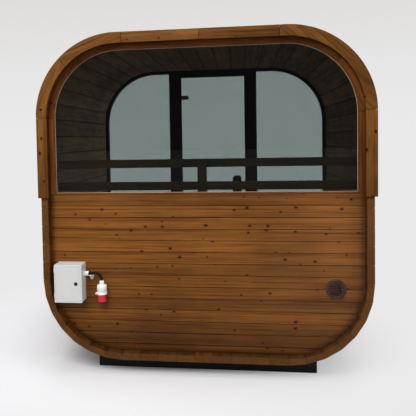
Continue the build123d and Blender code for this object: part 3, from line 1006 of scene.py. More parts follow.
def wall_board(z_low, z_high, lean):
    bottom, top = z_low + BOARD_JOINT, z_high - BOARD_JOINT
    face_low = bottom + BOARD_BEVEL
    strip = (top - BOARD_BEVEL - face_low) / BOARD_STRIPS
    levels = [(bottom, GROOVE_FLOOR), (bottom + GROOVE_LIP, GROOVE_DEPTH)]
    levels += [(face_low + strip * step, 0.0) for step in range(BOARD_STRIPS + 1)]
    levels += [(top - GROOVE_LIP, GROOVE_DEPTH), (top, GROOVE_FLOOR)]
    rows = []
    for z, depth in levels:
        x = half_width_at(z)
        near, far = wall_low.y + depth + lean, wall_high.y - depth
        rows.append([(-x, near, z), (x, near, z), (x, far, z), (-x, far, z)])
    return solid("wall board", rows)


print("half the wall's width at its foot", round(half_width_at(wall_low.z), 4))

# %% The whole wall
THINNEST_BOARD = 0.001
VENT_HOLE_RADIUS = 0.050
BOARD_LEAN = 0.0004
HOLE_OVERSHOOT = 0.05
HOLE_SIDES = 48
chance = random.Random(RANDOM_SEED)
board_meshes = []
board_numbers = []
top = wall_high.z
while top > wall_low.z + THINNEST_BOARD:
    low = max(top - WALL_BOARD_COVER, wall_low.z)
    board_numbers.append((low, chance.random()))
    board_meshes.append(wall_board(low, top, chance.uniform(-BOARD_LEAN, BOARD_LEAN)))
    top = low
wall_boards = join_meshes("wall_boards", board_meshes, wall_timber)
vent_low, vent_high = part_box("vent_grille")
vent_centre = (vent_low + vent_high) / 2
hole_centre = Vector((vent_centre.x, (wall_low.y + wall_high.y) / 2, vent_centre.z))
cut_round(wall_boards, "DIFFERENCE", hole_centre, VENT_HOLE_RADIUS,
          wall_high.y - wall_low.y + 2 * HOLE_OVERSHOOT, HOLE_SIDES)
print("wall boards", len(board_meshes), "faces", len(wall_boards.data.polygons))

# %% Grain and sides of the wall
LEVEL_TOLERANCE = 0.0001
ROOM_NORMAL = 0.7
wall_mesh = wall_boards.data
store_grain(wall_mesh, X_AXIS, Z_AXIS)
store_boards(wall_mesh, [
    next(number for low, number in board_numbers if vertex.co.z > low - LEVEL_TOLERANCE)
    for vertex in wall_mesh.vertices])
wall_mesh.materials.append(inside_timber)
room_side = wall_high.y - 0.5 * GROOVE_FLOOR
room_faces = [face for face in wall_mesh.polygons
              if face.normal.y > ROOM_NORMAL and face.center.y > room_side]
for face in room_faces:
    face.material_index = 1
print("faces towards the room", len(room_faces))
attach(wall_boards, "cabin")
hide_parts("rear_wall")

# %% [markdown]
# ## Fascia boards
#
# The upper half of each end carries boards that hide the edge of the roof covering. The curved
# ones are cut from straight planks, so their grain runs straight along the chord and not round
# the bend, as it would on a swept board. The lengths and joints are those of the rear end in the
# photograph. A place on the arch is a number: 0 to 1 runs up the left leg, 1 to 2 round the left
# corner, 2 to 3 along the top, 3 to 4 round the right corner and 4 to 5 down the right leg.

# %% Places along the arch
CORNER_STEPS = 28
SHORTEST_STEP = 0.004


def arch_point(place, offset, foot):
    """A point offset outwards from the shell's outline, in X and height above the middle."""
    side = -1 if place < 2.5 else 1
    own = place if place < 2.5 else 5 - place
    radius = CORNER_RADIUS + offset
    if own <= 1:
        return side * (straight + radius), foot + (straight - foot) * own
    if own <= 2:
        angle = (own - 1) * math.pi / 2
        return side * (straight + radius * math.cos(angle)), straight + radius * math.sin(angle)
    return -straight + 2 * straight * (place - 2), straight + radius


def arch_places(start, stop):
    """The two ends and, round a corner, the steps between them."""
    steps = [k / CORNER_STEPS for k in range(5 * CORNER_STEPS + 1)]
    bends = [p for p in steps if 1 <= p <= 2 or 3 <= p <= 4]
    between = [p for p in bends if start + SHORTEST_STEP < p < stop - SHORTEST_STEP]
    return [start] + between + [stop]


print("places along the arch", len(arch_places(0, 5)))

# %% Boards along the arch
ARCH_SEAM = 0.001
ARCH_SMOOTH = 30


def arch_board(start, stop, outer, inner, foot, depths, board, bevel):
    """One board between two places of the arch; the arch's own two feet have no seam."""
    seam_share = ARCH_SEAM / 2 / straight
    begin = start + seam_share if start > 0 else start
    end = stop - seam_share if stop < 5 else stop
    places = arch_places(begin, end)
    outline = [arch_point(p, outer, foot) for p in places]
    outline += [arch_point(p, inner, foot) for p in reversed(places)]
    mesh = prism([(x, z + centre_z) for x, z in outline], depths, bevel)
    first, last = [Vector(arch_point(p, (outer + inner) / 2, foot)) for p in (begin, end)]
    chord = (last - first).normalized()
    along = Vector((chord.x, 0, chord.y))
    store_grain(mesh, along, along.cross(Y_AXIS), board)
    return mesh


def arch(name, cuts, outer, inner, foot, depths, material, seed, bevel=0.0025):
    own_chance = random.Random(seed)
    meshes = [arch_board(start, stop, outer, inner, foot, depths, own_chance.random(), bevel)
              for start, stop in zip(cuts, cuts[1:])]
    piece = join_meshes(name, meshes, material)
    shade_smooth(piece, ARCH_SMOOTH)
    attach(piece, "cabin")
    print(name, len(meshes), "boards")
    return piece


# %% Fascia boards
FASCIA_PROUD = 0.016
FASCIA_INSET = 0.059
FASCIA_FOOT = 0.012
FASCIA_CUTS = (0, 1.002, 1.5, 2.0345, 2.5, 2.9655, 3.991, 5)
for name, seed in (("rear", 11), ("front", 17)):
    low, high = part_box("fascia_" + name + "_top")
    fascia = arch(name + "_fascia", FASCIA_CUTS, FASCIA_PROUD, -FASCIA_INSET, FASCIA_FOOT,
                  (low.y, high.y), fascia_timber, seed)
    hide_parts("fascia_" + name + "_left", "fascia_" + name + "_top",
                "fascia_" + name + "_right")

# %% [markdown]
# ## Rear window
#
# Inside the shell's rim the window has a stained frame, a bead on each side of the glass and a
# pale line of sealant along the bead, which is the thin bright edge in the photograph. The frame
# is built from boards like the fascia and reuses its function, so both follow one curve.

# %% Window frame
WINDOW_CUTS = (0, 1, 1.5, 2, 3, 3.5, 4, 5)
FRAME_GAP = 0.0003
FRAME_WIDTH = 0.034
window_low, window_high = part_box("rear_window_frame")
window_foot = window_low.z - centre_z
frame_inner = -STAVE_THICKNESS - FRAME_WIDTH
window_frame = arch("window_frame", WINDOW_CUTS, -STAVE_THICKNESS - FRAME_GAP, frame_inner,
                    window_foot, (window_low.y, window_high.y), window_timber, 23, bevel=0.002)
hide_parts("rear_window_frame")

# %% [markdown]
# ### Beads and sealant
#
# A bead on each side holds the glass, with its free corner rounded off so that it catches the
# light. The sealant is a thin wedge in the corner between the outer bead and the glass. A bevelled
# curve would carry such sections too, but it gets thinner at sharp corners, such as the two at the
# window's foot.

# %% Sections carried round the window
BEAD_BOARD = 0.4


def window_loop(inset, y):
    """A closed loop round the window at an inset from the frame's inner edge and foot."""
    points = [arch_point(p, frame_inner - inset, window_foot + inset) for p in arch_places(0, 5)]
    return [(x, y, z + centre_z) for x, z in points]


def window_section(name, section, material):
    """The section is a list of (inset, y)."""
    mesh = solid(name, [window_loop(inset, y) for inset, y in section], closed=True)
    store_grain(mesh, X_AXIS, Z_AXIS, BEAD_BOARD)
    piece = add_piece(name, mesh, material)
    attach(piece, "cabin")
    print(name, len(mesh.polygons), "faces")
    return piece


# %% Beads and sealant
BEAD_WIDTH = 0.011
BEAD_ROUNDING = 0.35
OUTER_BEAD_DEPTH = 0.012
INNER_BEAD_DEPTH = 0.008
SEALANT_WIDTH = 0.003
SEALANT_RISE = 0.003
SEALANT_EDGE = 0.0005


def bead(name, y_wall, y_glass):
    """A bead with its free corner rounded off towards the daylight."""
    lean = BEAD_ROUNDING * (y_glass - y_wall)
    piece = window_section(name, [
        (FRAME_GAP, y_glass), (FRAME_GAP, y_wall), (0.6 * BEAD_WIDTH, y_wall),
        (0.88 * BEAD_WIDTH, y_wall + 0.3 * lean), (BEAD_WIDTH, y_wall + lean),
        (BEAD_WIDTH, y_glass),
    ], bead_timber)
    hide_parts("rear_window_beads")


outer_glass_face = window_low.y + OUTER_BEAD_DEPTH
bead("outer_bead", window_low.y, outer_glass_face)
bead("inner_bead", window_high.y, window_high.y - INNER_BEAD_DEPTH)
sealant_line = window_section("window_sealant", [
    (BEAD_WIDTH, outer_glass_face - SEALANT_RISE),
    (BEAD_WIDTH + SEALANT_WIDTH, outer_glass_face - SEALANT_EDGE),
    (BEAD_WIDTH + SEALANT_WIDTH, outer_glass_face),
    (BEAD_WIDTH, outer_glass_face),
], sealant)

# %% [markdown]
# ## Roof shingles
#
# The photograph shows the cabin from its end, so the covering itself is hidden. Bitumen shingles
# are usual here: they bend over the corners and end under the fascia. They are laid out flat and
# then wrapped over the section by a tree that samples the section's curve, which keeps each
# course at its true length round the bend. A row of caps covers the ridge.

# %% Section of the roof
FLAT_STEPS = 8
BEND_STEPS = 32


def section_curve():
    """Half of the roof's section as a curve, from the ridge to the foot on the right."""
    data = bpy.data.curves.new("section", "CURVE")
    data.dimensions = "3D"
    points = [(straight * k / FLAT_STEPS, half_height) for k in range(FLAT_STEPS)]
    for index in range(BEND_STEPS + 1):
        angle = math.pi / 2 * (1 - index / BEND_STEPS)
        points.append((straight + CORNER_RADIUS * math.cos(angle),
                       straight + CORNER_RADIUS * math.sin(angle)))
    points += [(half_width, straight * k / FLAT_STEPS) for k in reversed(range(FLAT_STEPS))]
    line = data.splines.new("POLY")
    line.points.add(len(points) - 1)
    for place, (x, z) in zip(line.points, points):
        place.co = (x, 0.0, z + centre_z, 1.0)
    section = bpy.data.objects.new("section", data)
    bpy.context.scene.collection.objects.link(section)
    return section


# %% [markdown]
# ### Wrapping a flat covering
#
# A point of the flat layout has a distance from the ridge, a place along the cabin and a height
# over the roof. The tree walks that distance along the section and lifts the point off it by that
# height. A Simple Deform modifier bends a sheet evenly, but this roof is flat, round and flat
# again.


# %% Tree that wraps a flat layout over the section
def wrap_tree():
    tree, given, result = new_group("Wrap over section", "GeometryNodeTree", [
        ("Flat", "Geometry"), ("Section", "Object"), ("Covering", "Material"),
    ], [("Wrapped", "Geometry")])
    section = add_node(tree, "GeometryNodeObjectInfo", {"Object": given["Section"]})
    flat = separate(tree, tree.nodes.new("GeometryNodeInputPosition").outputs[0])
    sample = add_node(tree, "GeometryNodeSampleCurve", {
        "Curves": section.outputs["Geometry"], "Length": math_node(tree, "ABSOLUTE", flat["X"]),
    }, mode="LENGTH").outputs
    outward = vector_math(tree, "CROSS_PRODUCT", sample["Tangent"], (0.0, 1.0, 0.0))
    lifted = vector_math(tree, "SCALE", outward, flat["Z"])
    bent = separate(tree, vector_math(tree, "ADD", sample["Position"], lifted))
    x = math_node(tree, "MULTIPLY", bent["X"], math_node(tree, "SIGN", flat["X"]))
    moved = add_node(tree, "GeometryNodeSetPosition", {
        "Geometry": given["Flat"], "Position": combine(tree, x, flat["Y"], bent["Z"]),
    })
    painted = add_node(tree, "GeometryNodeSetMaterial", {
        "Geometry": moved.outputs[0], "Material": given["Covering"],
    })
    set_inputs(tree, result, {"Wrapped": painted.outputs[0]})
    return tree


WRAP = wrap_tree()
print("wrap nodes", len(WRAP.nodes))

# %% One shingle and its places
SHINGLE_COURSES = 14
SHINGLE_LENGTH = 0.205
SHINGLE_WIDTH = 0.333
SHINGLE_THICKNESS = 0.0028
SHINGLE_BASE = 0.0004
SHINGLE_LIFT = 0.0036
SHINGLE_SLOT = 0.005
SHINGLE_STRIPS = 5
FIRST_COURSE = 0.02


def shingle_mesh():
    """One tab, its head at X 0 and its butt towards +X, lifted where it lies on the next course."""
    rows = []
    half = SHINGLE_WIDTH / 2 - SHINGLE_SLOT / 2
    for index in range(SHINGLE_STRIPS + 1):
        share = index / SHINGLE_STRIPS
        x = SHINGLE_LENGTH * share
        base = SHINGLE_BASE + SHINGLE_LIFT * share
        upper = base + SHINGLE_THICKNESS
        rows.append([(x, -half, base), (x, half, base), (x, half, upper), (x, -half, upper)])
    return solid("shingle", rows)


# %% Places of the shingles
def shingle_places():
    places = []
    lowest = 2 * straight + CORNER_RADIUS * math.pi / 2 - FASCIA_FOOT - SHINGLE_LENGTH
    for side in (0, 1):
        turn = Euler((0, 0, math.pi * side))
        for course in range(SHINGLE_COURSES):
            head = lowest + (FIRST_COURSE - lowest) * course / (SHINGLE_COURSES - 1)
            y = rear_end - SHINGLE_WIDTH + SHINGLE_WIDTH / 2 * (course % 2)
            while y < front_end + SHINGLE_WIDTH:
                places.append((Vector((head * (1 - 2 * side), y, 0.0)), turn))
                y += SHINGLE_WIDTH
    return places


print("shingles", len(shingle_places()), "in", SHINGLE_COURSES, "courses a side")

# %% Shingles over the roof
COVER_END_GAP = 0.0005


def trim_to_length(piece):
    """Cuts off what reaches past the shell's two ends and closes the cuts."""
    work = bmesh.new()
    work.from_mesh(piece.data)
    for y, way in ((rear_end + COVER_END_GAP, -1), (front_end - COVER_END_GAP, 1)):
        geometry = work.verts[:] + work.edges[:] + work.faces[:]
        cut = bmesh.ops.bisect_plane(work, geom=geometry, plane_co=(0, y, 0),
                                     plane_no=(0, way, 0), clear_outer=True)
        rims = [e for e in cut["geom_cut"] if isinstance(e, bmesh.types.BMEdge)]
        bmesh.ops.edgenet_fill(work, edges=rims)
    bmesh.ops.recalc_face_normals(work, faces=work.faces)
    work.to_mesh(piece.data)
    work.free()


shingles = set_out("roof_shingles", shingle_mesh(), shingle_places(), shingle_felt, seed=9)
trim_to_length(shingles)
section = section_curve()
run_tree(shingles, WRAP, {"Section": section, "Covering": shingle_felt})
bpy.data.objects.remove(section)
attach(shingles, "cabin")
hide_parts("roof_cover_left", "roof_cover_top", "roof_cover_right")

# %% [markdown]
# ### Ridge caps
#
# Where the two sides meet, caps of the same felt lie across the ridge, each lapped over the
# next one's head. The section is flat there, so they are set out straight in place and need no
# wrapping.

# %% Caps over the ridge
RIDGE_HALF = 0.11
RIDGE_LENGTH = 0.25
RIDGE_EXPOSURE = 0.168
RIDGE_BASE = 0.0076


def ridge_cap_mesh():
    """A cap over the ridge, its head at Y 0 and its butt towards -Y, lifted on the next cap."""
    rows = []
    for y, base in ((0.0, RIDGE_BASE), (-RIDGE_LENGTH, RIDGE_BASE + SHINGLE_THICKNESS)):
        upper = base + SHINGLE_THICKNESS
        rows.append([(-RIDGE_HALF, y, base), (RIDGE_HALF, y, base), (RIDGE_HALF, y, upper),
                     (-RIDGE_HALF, y, upper)])
    return solid("ridge cap", rows)


cap_count = int(front_end / RIDGE_EXPOSURE * 2) + 1
cap_heads = [rear_end + RIDGE_LENGTH + RIDGE_EXPOSURE * k for k in range(cap_count)]
ridge_caps = set_out("ridge_caps", ridge_cap_mesh(),
                     [(Vector((0, y, half_height + centre_z)), Euler()) for y in cap_heads],
                     shingle_felt)
trim_to_length(ridge_caps)
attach(ridge_caps, "cabin")
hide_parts("roof_cover_top")

# %% [markdown]
# ## Pieces that keep their CAD shape
#
# Frames, posts, glass and fittings are already right in size and form. They get a small bevel
# where hands and light meet an edge, and their own finish. Modelled again they could be finer,
# but two shapes of one piece would then have to agree.

# %% Dress the CAD nodes
EASE_ANGLE = math.radians(40)


def dress(material, bevel, *names, segments=2):
    for name in names:
        piece = nodes[name]
        piece.data.materials.clear()
        piece.data.materials.append(material)
        if bevel:
            ease = piece.modifiers.new("Ease", "BEVEL")
            ease.width = bevel
            ease.segments = segments
            ease.limit_method = "ANGLE"
            ease.angle_limit = EASE_ANGLE
            ease.harden_normals = False
    print(material.name, "on", ", ".join(names))


dress(bearer_black, 0.004, "bearers")
dress(tinted_glass, 0.0, "rear_window_glass")
dress(clear_glass, 0.0, "front_pane_left", "front_pane_right")
dress(clear_glass, 0.001, "door_glass")
dress(front_timber, 0.003, "front_frame_left", "front_frame_right", "door_post_left",
      "door_post_right")
dress(lintel_timber, 0.003, "door_head", "door_threshold")
dress(rail_timber, 0.0, "backrest_rails")
dress(post_timber, 0.003, "backrest_post")
dress(handle_timber, 0.003, "door_handle", segments=3)
dress(satin_metal, 0.0008, "door_hinge_leaves", "door_hinge_clamps")
dress(box_paint, 0.0006, "control_box_body", "control_box_lid")
dress(white_plastic, 0.0006, "box_gland")
dress(white_plastic, 0.0008, "cable_clip")

# %% [markdown]
# ### Lock of the control box
#
# The cover has a round lock, a black insert in a pale ring. Both are one CAD piece, so the
# material tells them apart by the distance from the lock's axis. Faces picked by hand would do
# as well, until the CAD piece changed.

# %% Lock of the control box
LOCK_INSERT_RADIUS = 0.0135


def lock_finish():
    """A black insert in a pale ring, told apart by the distance from the lock's own axis."""
    material, tree, shader = new_material("Lock")
    lock_low, lock_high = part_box("control_box_lock")
    middle = (lock_low + lock_high) / 2
    place = separate(tree, object_position(tree))
    away = distance_from(tree, place, X=middle.x, Z=middle.z)
    ring = math_node(tree, "GREATER_THAN", away, LOCK_INSERT_RADIUS)
    insert = mix_colour(tree, wear_of(tree, 0.05)["Mottle"], (0.007, 0.007, 0.007),
                        (0.011, 0.011, 0.011))
    set_inputs(tree, shader, {"Base Color": mix_colour(tree, ring, insert, (0.8, 0.81, 0.81)),
                              "Roughness": 0.35})
    return material


dress(lock_finish(), 0.0005, "control_box_lock")

# %% [markdown]
# ## Vent grille
#
# A glossy dark red-brown moulding: a domed ring round a stack of louvres, and a sleeve through the
# wall. Ring and sleeve are each one profile turned round the vent's axis. A Screw modifier turns
# a profile as well, but a helper that skins the rings itself can also flute them, which the plug's
# nut needs.

# %% Turned pieces
TURNED_SMOOTH = 40


def turned(name, centre, axis, profile, material, steps=64, flute_count=0, flute_depth=0.0):
    """A profile of (radius, distance along the axis) turned round an axis through centre."""
    side = axis.orthogonal().normalized()
    other = axis.cross(side)
    rings = []
    for radius, distance in profile:
        ring = []
        for index in range(steps):
            angle = 2 * math.pi * index / steps
            own = radius - flute_depth * (0.5 + 0.5 * math.cos(flute_count * angle))
            around = side * math.cos(angle) + other * math.sin(angle)
            ring.append(centre + axis * distance + around * own)
        rings.append(ring)
    piece = add_piece(name, solid(name, rings, closed=True), material)
    shade_smooth(piece, TURNED_SMOOTH)
    print(name, len(profile), "rings of", steps)
    return piece


# %% Ring and sleeve of the vent
VENT_RIM = 0.009
SLEEVE_GAP = 0.0006
SLEEVE_WALL = 0.0025
FLANGE_GAP = 0.0005
FLANGE_THICKNESS = 0.0015
vent_radius = (vent_high.x - vent_low.x) / 2
vent_inner = vent_radius - VENT_RIM
vent_depth = wall_low.y - vent_low.y
vent_face = Vector((vent_centre.x, wall_low.y, vent_centre.z))
ring_profile = [
    (vent_radius, 0.0), (vent_radius, 0.35 * vent_depth), (vent_radius - 0.0008, 0.6 * vent_depth),
    (vent_radius - 0.0022, 0.82 * vent_depth), (vent_radius - 0.004, 0.96 * vent_depth),
    (vent_radius - 0.0055, vent_depth), (vent_inner + 0.002, 0.97 * vent_depth),
    (vent_inner + 0.0008, 0.88 * vent_depth), (vent_inner, 0.72 * vent_depth), (vent_inner, 0.0),
]
sleeve_radius = VENT_HOLE_RADIUS - SLEEVE_GAP
sleeve_inner = sleeve_radius - SLEEVE_WALL
sleeve_end = wall_low.y - wall_high.y
sleeve_profile = [
    (sleeve_radius, sleeve_end), (sleeve_radius, 0.0), (vent_inner + FLANGE_GAP, 0.0),
    (vent_inner + FLANGE_GAP, FLANGE_THICKNESS), (sleeve_inner, FLANGE_THICKNESS),
    (sleeve_inner, sleeve_end),
]
vent_ring = turned("vent_ring", vent_face, -Y_AXIS, ring_profile, vent_brown)
vent_sleeve = turned("vent_sleeve", vent_face, -Y_AXIS, sleeve_profile, vent_brown)

# %% [markdown]
# ### Louvres
#
# Thin louvres lean down and out, so rain stays out. A second stack at the room's end of the
# sleeve leans the other way and keeps the hole dark. The tree sets out one long louvre, and one
# round cut then trims them all to the ring. Louvres made to length would end square and leave
# gaps at the round ring.

# %% Louvres
LOUVRE_COUNT = 10
LOUVRE_THICKNESS = 0.003
LOUVRE_EASE = 0.0014
LOUVRE_TILT = math.radians(14.0)
INNER_TILT = math.radians(40.0)
LOUVRE_LAP = 0.001
LOUVRE_CUT_DEPTH = 0.2
LOUVRE_CUT_SIDES = 64
LOUVRE_HALF_SHARE = 0.3
LOUVRE_SET = 0.56
INNER_SET = 0.4


def louvre_mesh():
    half_depth = LOUVRE_HALF_SHARE * vent_depth / math.cos(LOUVRE_TILT)
    half_thick = LOUVRE_THICKNESS / 2
    ends = [[(x, -half_depth, -half_thick), (x, half_depth, -half_thick),
             (x, half_depth, half_thick), (x, -half_depth, half_thick)]
            for x in (-vent_radius, vent_radius)]
    return solid("louvre", ends, ease=LOUVRE_EASE, segments=4, eased="sides")


louvre_pitch = 2 * vent_inner / LOUVRE_COUNT
louvre_places = []
for index in range(LOUVRE_COUNT):
    z = vent_centre.z - vent_inner + (index + 0.5) * louvre_pitch
    for y, rise, tilt in ((wall_low.y - LOUVRE_SET * vent_depth, 0.0, LOUVRE_TILT),
                          (wall_high.y - INNER_SET * vent_depth, louvre_pitch / 2, -INNER_TILT)):
        louvre_places.append((Vector((vent_centre.x, y, z + rise)), Euler((tilt, 0, 0))))
louvres = set_out("vent_louvres", louvre_mesh(), louvre_places, vent_brown)
cut_round(louvres, "INTERSECT", vent_face, vent_inner + LOUVRE_LAP, LOUVRE_CUT_DEPTH,
          LOUVRE_CUT_SIDES)
for piece in (vent_ring, vent_sleeve, louvres):
    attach(piece, "cabin")
    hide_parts("vent_grille")

# %% [markdown]
# ## Plug
#
# A round industrial plug hangs from the lead: fluted cap nut, white body with a rounded
# shoulder, a flange with a catch, and an open red shroud round the pins. Nut and body are turned
# like the vent's ring, and the catch is an outline given a width. A body modelled from a cylinder
# by hand would look the same, but its profile could not be read off in one list.

# %% Plug nut and body
FLUTES = 14
FLUTE_DEPTH = 0.0014
NUT_STEPS = 84
plug_low, plug_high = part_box("plug_body")
plug_axis_x = CABLE_ROUTE[-1][0]
plug_top = Vector((plug_axis_x, CABLE_Y, plug_high.z))
plug_height = plug_high.z - plug_low.z
nut_profile = [(0.0112, 0.0), (0.0135, 0.0), (0.016, 0.0035), (0.0165, 0.0085), (0.0165, 0.0295),
               (0.0112, 0.0295)]
body_profile = [
    (0.0107, 0.029), (0.0255, 0.029), (0.0305, 0.0305), (0.034, 0.034), (0.0355, 0.039),
    (0.0355, 0.078), (0.0345, 0.0792), (0.0345, 0.0818), (0.0355, 0.083), (0.0365, 0.0865),
    (0.0365, plug_height - 0.001), (0.0355, plug_height), (0.0107, plug_height),
]
plug_nut = turned("plug_nut", plug_top, -Z_AXIS, nut_profile, white_plastic, steps=NUT_STEPS,
                  flute_count=FLUTES, flute_depth=FLUTE_DEPTH)
plug_shell = turned("plug_shell", plug_top, -Z_AXIS, body_profile, white_plastic)

# %% Catch of the plug
CATCH_HALF_WIDTH = 0.013
CATCH_HEIGHT = 0.019
CATCH_SLOPE_RUN = 0.0115
CATCH_NOSE = 0.0075
catch_outline = [
    (plug_low.x, plug_low.z), (plug_axis_x, plug_low.z),
    (plug_axis_x, plug_low.z + CATCH_HEIGHT),
    (plug_low.x + CATCH_SLOPE_RUN, plug_low.z + CATCH_HEIGHT),
    (plug_low.x, plug_low.z + CATCH_NOSE),
]
catch_sides = (CABLE_Y - CATCH_HALF_WIDTH, CABLE_Y + CATCH_HALF_WIDTH)
catch = add_piece("plug_catch", prism(catch_outline, catch_sides, 0.0012), white_plastic)
print("catch", len(catch.data.polygons), "faces")

# %% [markdown]
# ### Shroud and pins
#
# The red shroud is open below, and brass pins stand inside it. They are one CAD piece, so the
# material goes by place, as on the lock: what is near the axis and under the shroud's floor is
# brass, the rest is red moulding.

# %% Shroud and pins
PIN_CIRCLE = 0.015
PIN_RADIUS = 0.003
SHROUD_FLOOR = 0.006
PIN_ROOT = 0.0002
shroud_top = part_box("plug_shroud")[1].z


def shroud_finish():
    """Red moulding, and brass where the pins stand inside the shroud."""
    material, tree, shader = new_material("Red shroud and pins")
    place = separate(tree, object_position(tree))
    away = distance_from(tree, place, X=plug_axis_x, Y=CABLE_Y)
    near_axis = math_node(tree, "LESS_THAN", away, PIN_CIRCLE + 2 * PIN_RADIUS)
    below = math_node(tree, "LESS_THAN", place["Z"], shroud_top - SHROUD_FLOOR - PIN_ROOT)
    pin = math_node(tree, "MULTIPLY", near_axis, below)
    red = mix_colour(tree, wear_of(tree, 0.08)["Mottle"], (0.66, 0.02, 0.028),
                     (0.58, 0.016, 0.022))
    set_inputs(tree, shader, {"Base Color": mix_colour(tree, pin, red, (0.72, 0.5, 0.2)),
                              "Metallic": pin, "Roughness": 0.3, "Coat Weight": 0.2})
    return material


dress(shroud_finish(), 0.0008, "plug_shroud")

# %% [markdown]
# ### The lead and its plug
#
# The curve from the start of this script now gets its rubber, and the lead and the plug's
# pieces join the cabin's body.

# %% Plug and cable in the frame
plug_pieces = [plug_nut, plug_shell, catch]
for piece in plug_pieces:
    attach(piece, "cabin")
    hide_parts("plug_body")
cable_curve.materials.append(cable_rubber)
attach(cable_piece, "cabin")
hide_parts("cable")

# %% [markdown]
# ## Screws
#
# The hinge clamps and leaves are screwed on with low screws that have a hexagonal socket. One
# head is modelled with its socket, because its shadow is what the eye finds, and the tree sets it
# out. A bump pattern could fake the socket, but not the head's own outline.

# %% One screw head
SCREW_RADIUS = 0.0042
SCREW_HEIGHT = 0.0014
SCREW_STEPS = 24
SOCKET_SHARE = 0.42
SOCKET_FLOOR = 0.2
HEAD_RINGS = ((1.0, 0.0), (0.92, 0.6), (0.6, 1.0))


def screw_mesh():
    """A low domed head with a hexagonal socket, its axis along Z."""
    angles = [2 * math.pi * k / SCREW_STEPS for k in range(SCREW_STEPS)]
    rings = []
    for share, rise in HEAD_RINGS:
        rings.append([(angle, share, rise) for angle in angles])
    for rise in (1.0, SOCKET_FLOOR):
        rings.append([(angle, SOCKET_SHARE / math.cos(angle % (math.pi / 3) - math.pi / 6), rise)
                      for angle in angles])
    return solid("screw", [
        [(share * SCREW_RADIUS * math.cos(angle), share * SCREW_RADIUS * math.sin(angle),
          rise * SCREW_HEIGHT) for angle, share, rise in ring] for ring in rings])


print("socket across flats", round(2 * SOCKET_SHARE * SCREW_RADIUS, 4))

# %% Screws on the hinges
HINGE_HEIGHT = 0.042
CLAMP_LENGTH = 0.0745
CLAMP_THICKNESS = 0.006
LEAF_THICKNESS = 0.004
CLAMP_SCREWS = (0.028, 0.052)
LEAF_SCREWS = (0.009, 0.024)
clamp_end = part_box("door_hinge_clamps")[1].x
leaf_low, leaf_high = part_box("door_hinge_leaves")
glass_low, glass_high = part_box("door_glass")
toward_front = Euler((-math.pi / 2, 0, 0))
toward_rear = Euler((math.pi / 2, 0, 0))
clamp_screws = []
leaf_screws = []
for z in (leaf_high.z - HINGE_HEIGHT / 2, leaf_low.z + HINGE_HEIGHT / 2):
    for step in CLAMP_SCREWS:
        x = clamp_end - CLAMP_LENGTH + step
        clamp_screws.append((Vector((x, glass_high.y + CLAMP_THICKNESS, z)), toward_front))
        clamp_screws.append((Vector((x, glass_low.y - CLAMP_THICKNESS, z)), toward_rear))
    for step in LEAF_SCREWS:
        spot = Vector((leaf_low.x + step, leaf_low.y + LEAF_THICKNESS, z))
        leaf_screws.append((spot, toward_front))
clamp_heads = set_out("clamp_screws", screw_mesh(), clamp_screws, screw_steel)
leaf_heads = set_out("leaf_screws", screw_mesh(), leaf_screws, screw_steel)
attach(clamp_heads, "door")
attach(leaf_heads, "cabin")

# %% [markdown]
# ## Light and ground
#
# The photograph's background is a plain pale sweep. Floor and sky show their paleness only to
# the camera, directly or through glass. To everything else the floor is a dull ground and the
# sky a weaker light, so the window shows the dark room and not a white haze, and the wall grows
# darker towards its foot. A curved studio sweep would do too, but it would stand in the way when
# the cabin is looked at from behind.

# %% Colours of the stage
BACKDROP_LOW = (0.82, 0.82, 0.83)
BACKDROP_HIGH = (0.7, 0.685, 0.66)
FLOOR_SEEN = (0.82, 0.82, 0.85)
FLOOR_BOUNCE = (0.3, 0.3, 0.3)
SKY_LIGHT = (0.42, 0.42, 0.42)
SKY_MIRRORED = (0.05, 0.05, 0.05)
ROOM_LIGHT_LEFT = (0.08, 0.08, 0.08)
ROOM_LIGHT_RIGHT = (4.2, 4.2, 4.0)


def seen_directly(tree):
    """1 for a ray straight from the camera, also through glass, 0 once it has bounced."""
    path = tree.nodes.new("ShaderNodeLightPath").outputs
    bounces = math_node(tree, "ADD", path["Glossy Depth"], path["Diffuse Depth"])
    straight_on = math_node(tree, "LESS_THAN", bounces, 0.5)
    through = math_node(tree, "MULTIPLY", path["Is Transmission Ray"], straight_on)
    return math_node(tree, "MAXIMUM", path["Is Camera Ray"], through)


# %% [markdown]
# ### Floor
#
# The floor takes the cabin's soft shadow near it. Further out it fades into a glow of the
# backdrop's own colour, so no horizon shows.

# %% Floor
FLOOR_HALF = 80.0
FADE_CENTRE_X = -0.5
FADE_START = 0.7
FADE_END = 2.3
corners = [(-1, -1), (1, -1), (1, 1), (-1, 1)]
floor_mesh = bpy.data.meshes.new("floor")
floor_mesh.from_pydata([(FLOOR_HALF * x, FLOOR_HALF * y, 0) for x, y in corners], [], [range(4)])
floor_material, floor_tree, floor_shader = new_material("Floor")
floor = add_piece("floor", floor_mesh, floor_material)
seen = seen_directly(floor_tree)
set_inputs(floor_tree, floor_shader, {
    "Base Color": mix_colour(floor_tree, seen, FLOOR_BOUNCE, FLOOR_SEEN),
    "Roughness": 0.85, "Specular IOR Level": 0.2,
})
floor_place = separate(floor_tree, object_position(floor_tree))
distance = distance_from(floor_tree, floor_place, X=FADE_CENTRE_X, Y=0.0)
faded = math_node(floor_tree, "MULTIPLY", remap(floor_tree, distance, FADE_START, FADE_END), seen)
glow = add_node(floor_tree, "ShaderNodeEmission", {"Color": BACKDROP_LOW})
blend = add_node(floor_tree, "ShaderNodeMixShader",
                 {0: faded, 1: floor_shader.outputs[0], 2: glow.outputs[0]})
set_inputs(floor_tree, floor_tree.nodes["Material Output"], {"Surface": blend.outputs[0]})
print("floor fades from", FADE_START, "to", FADE_END, "m")

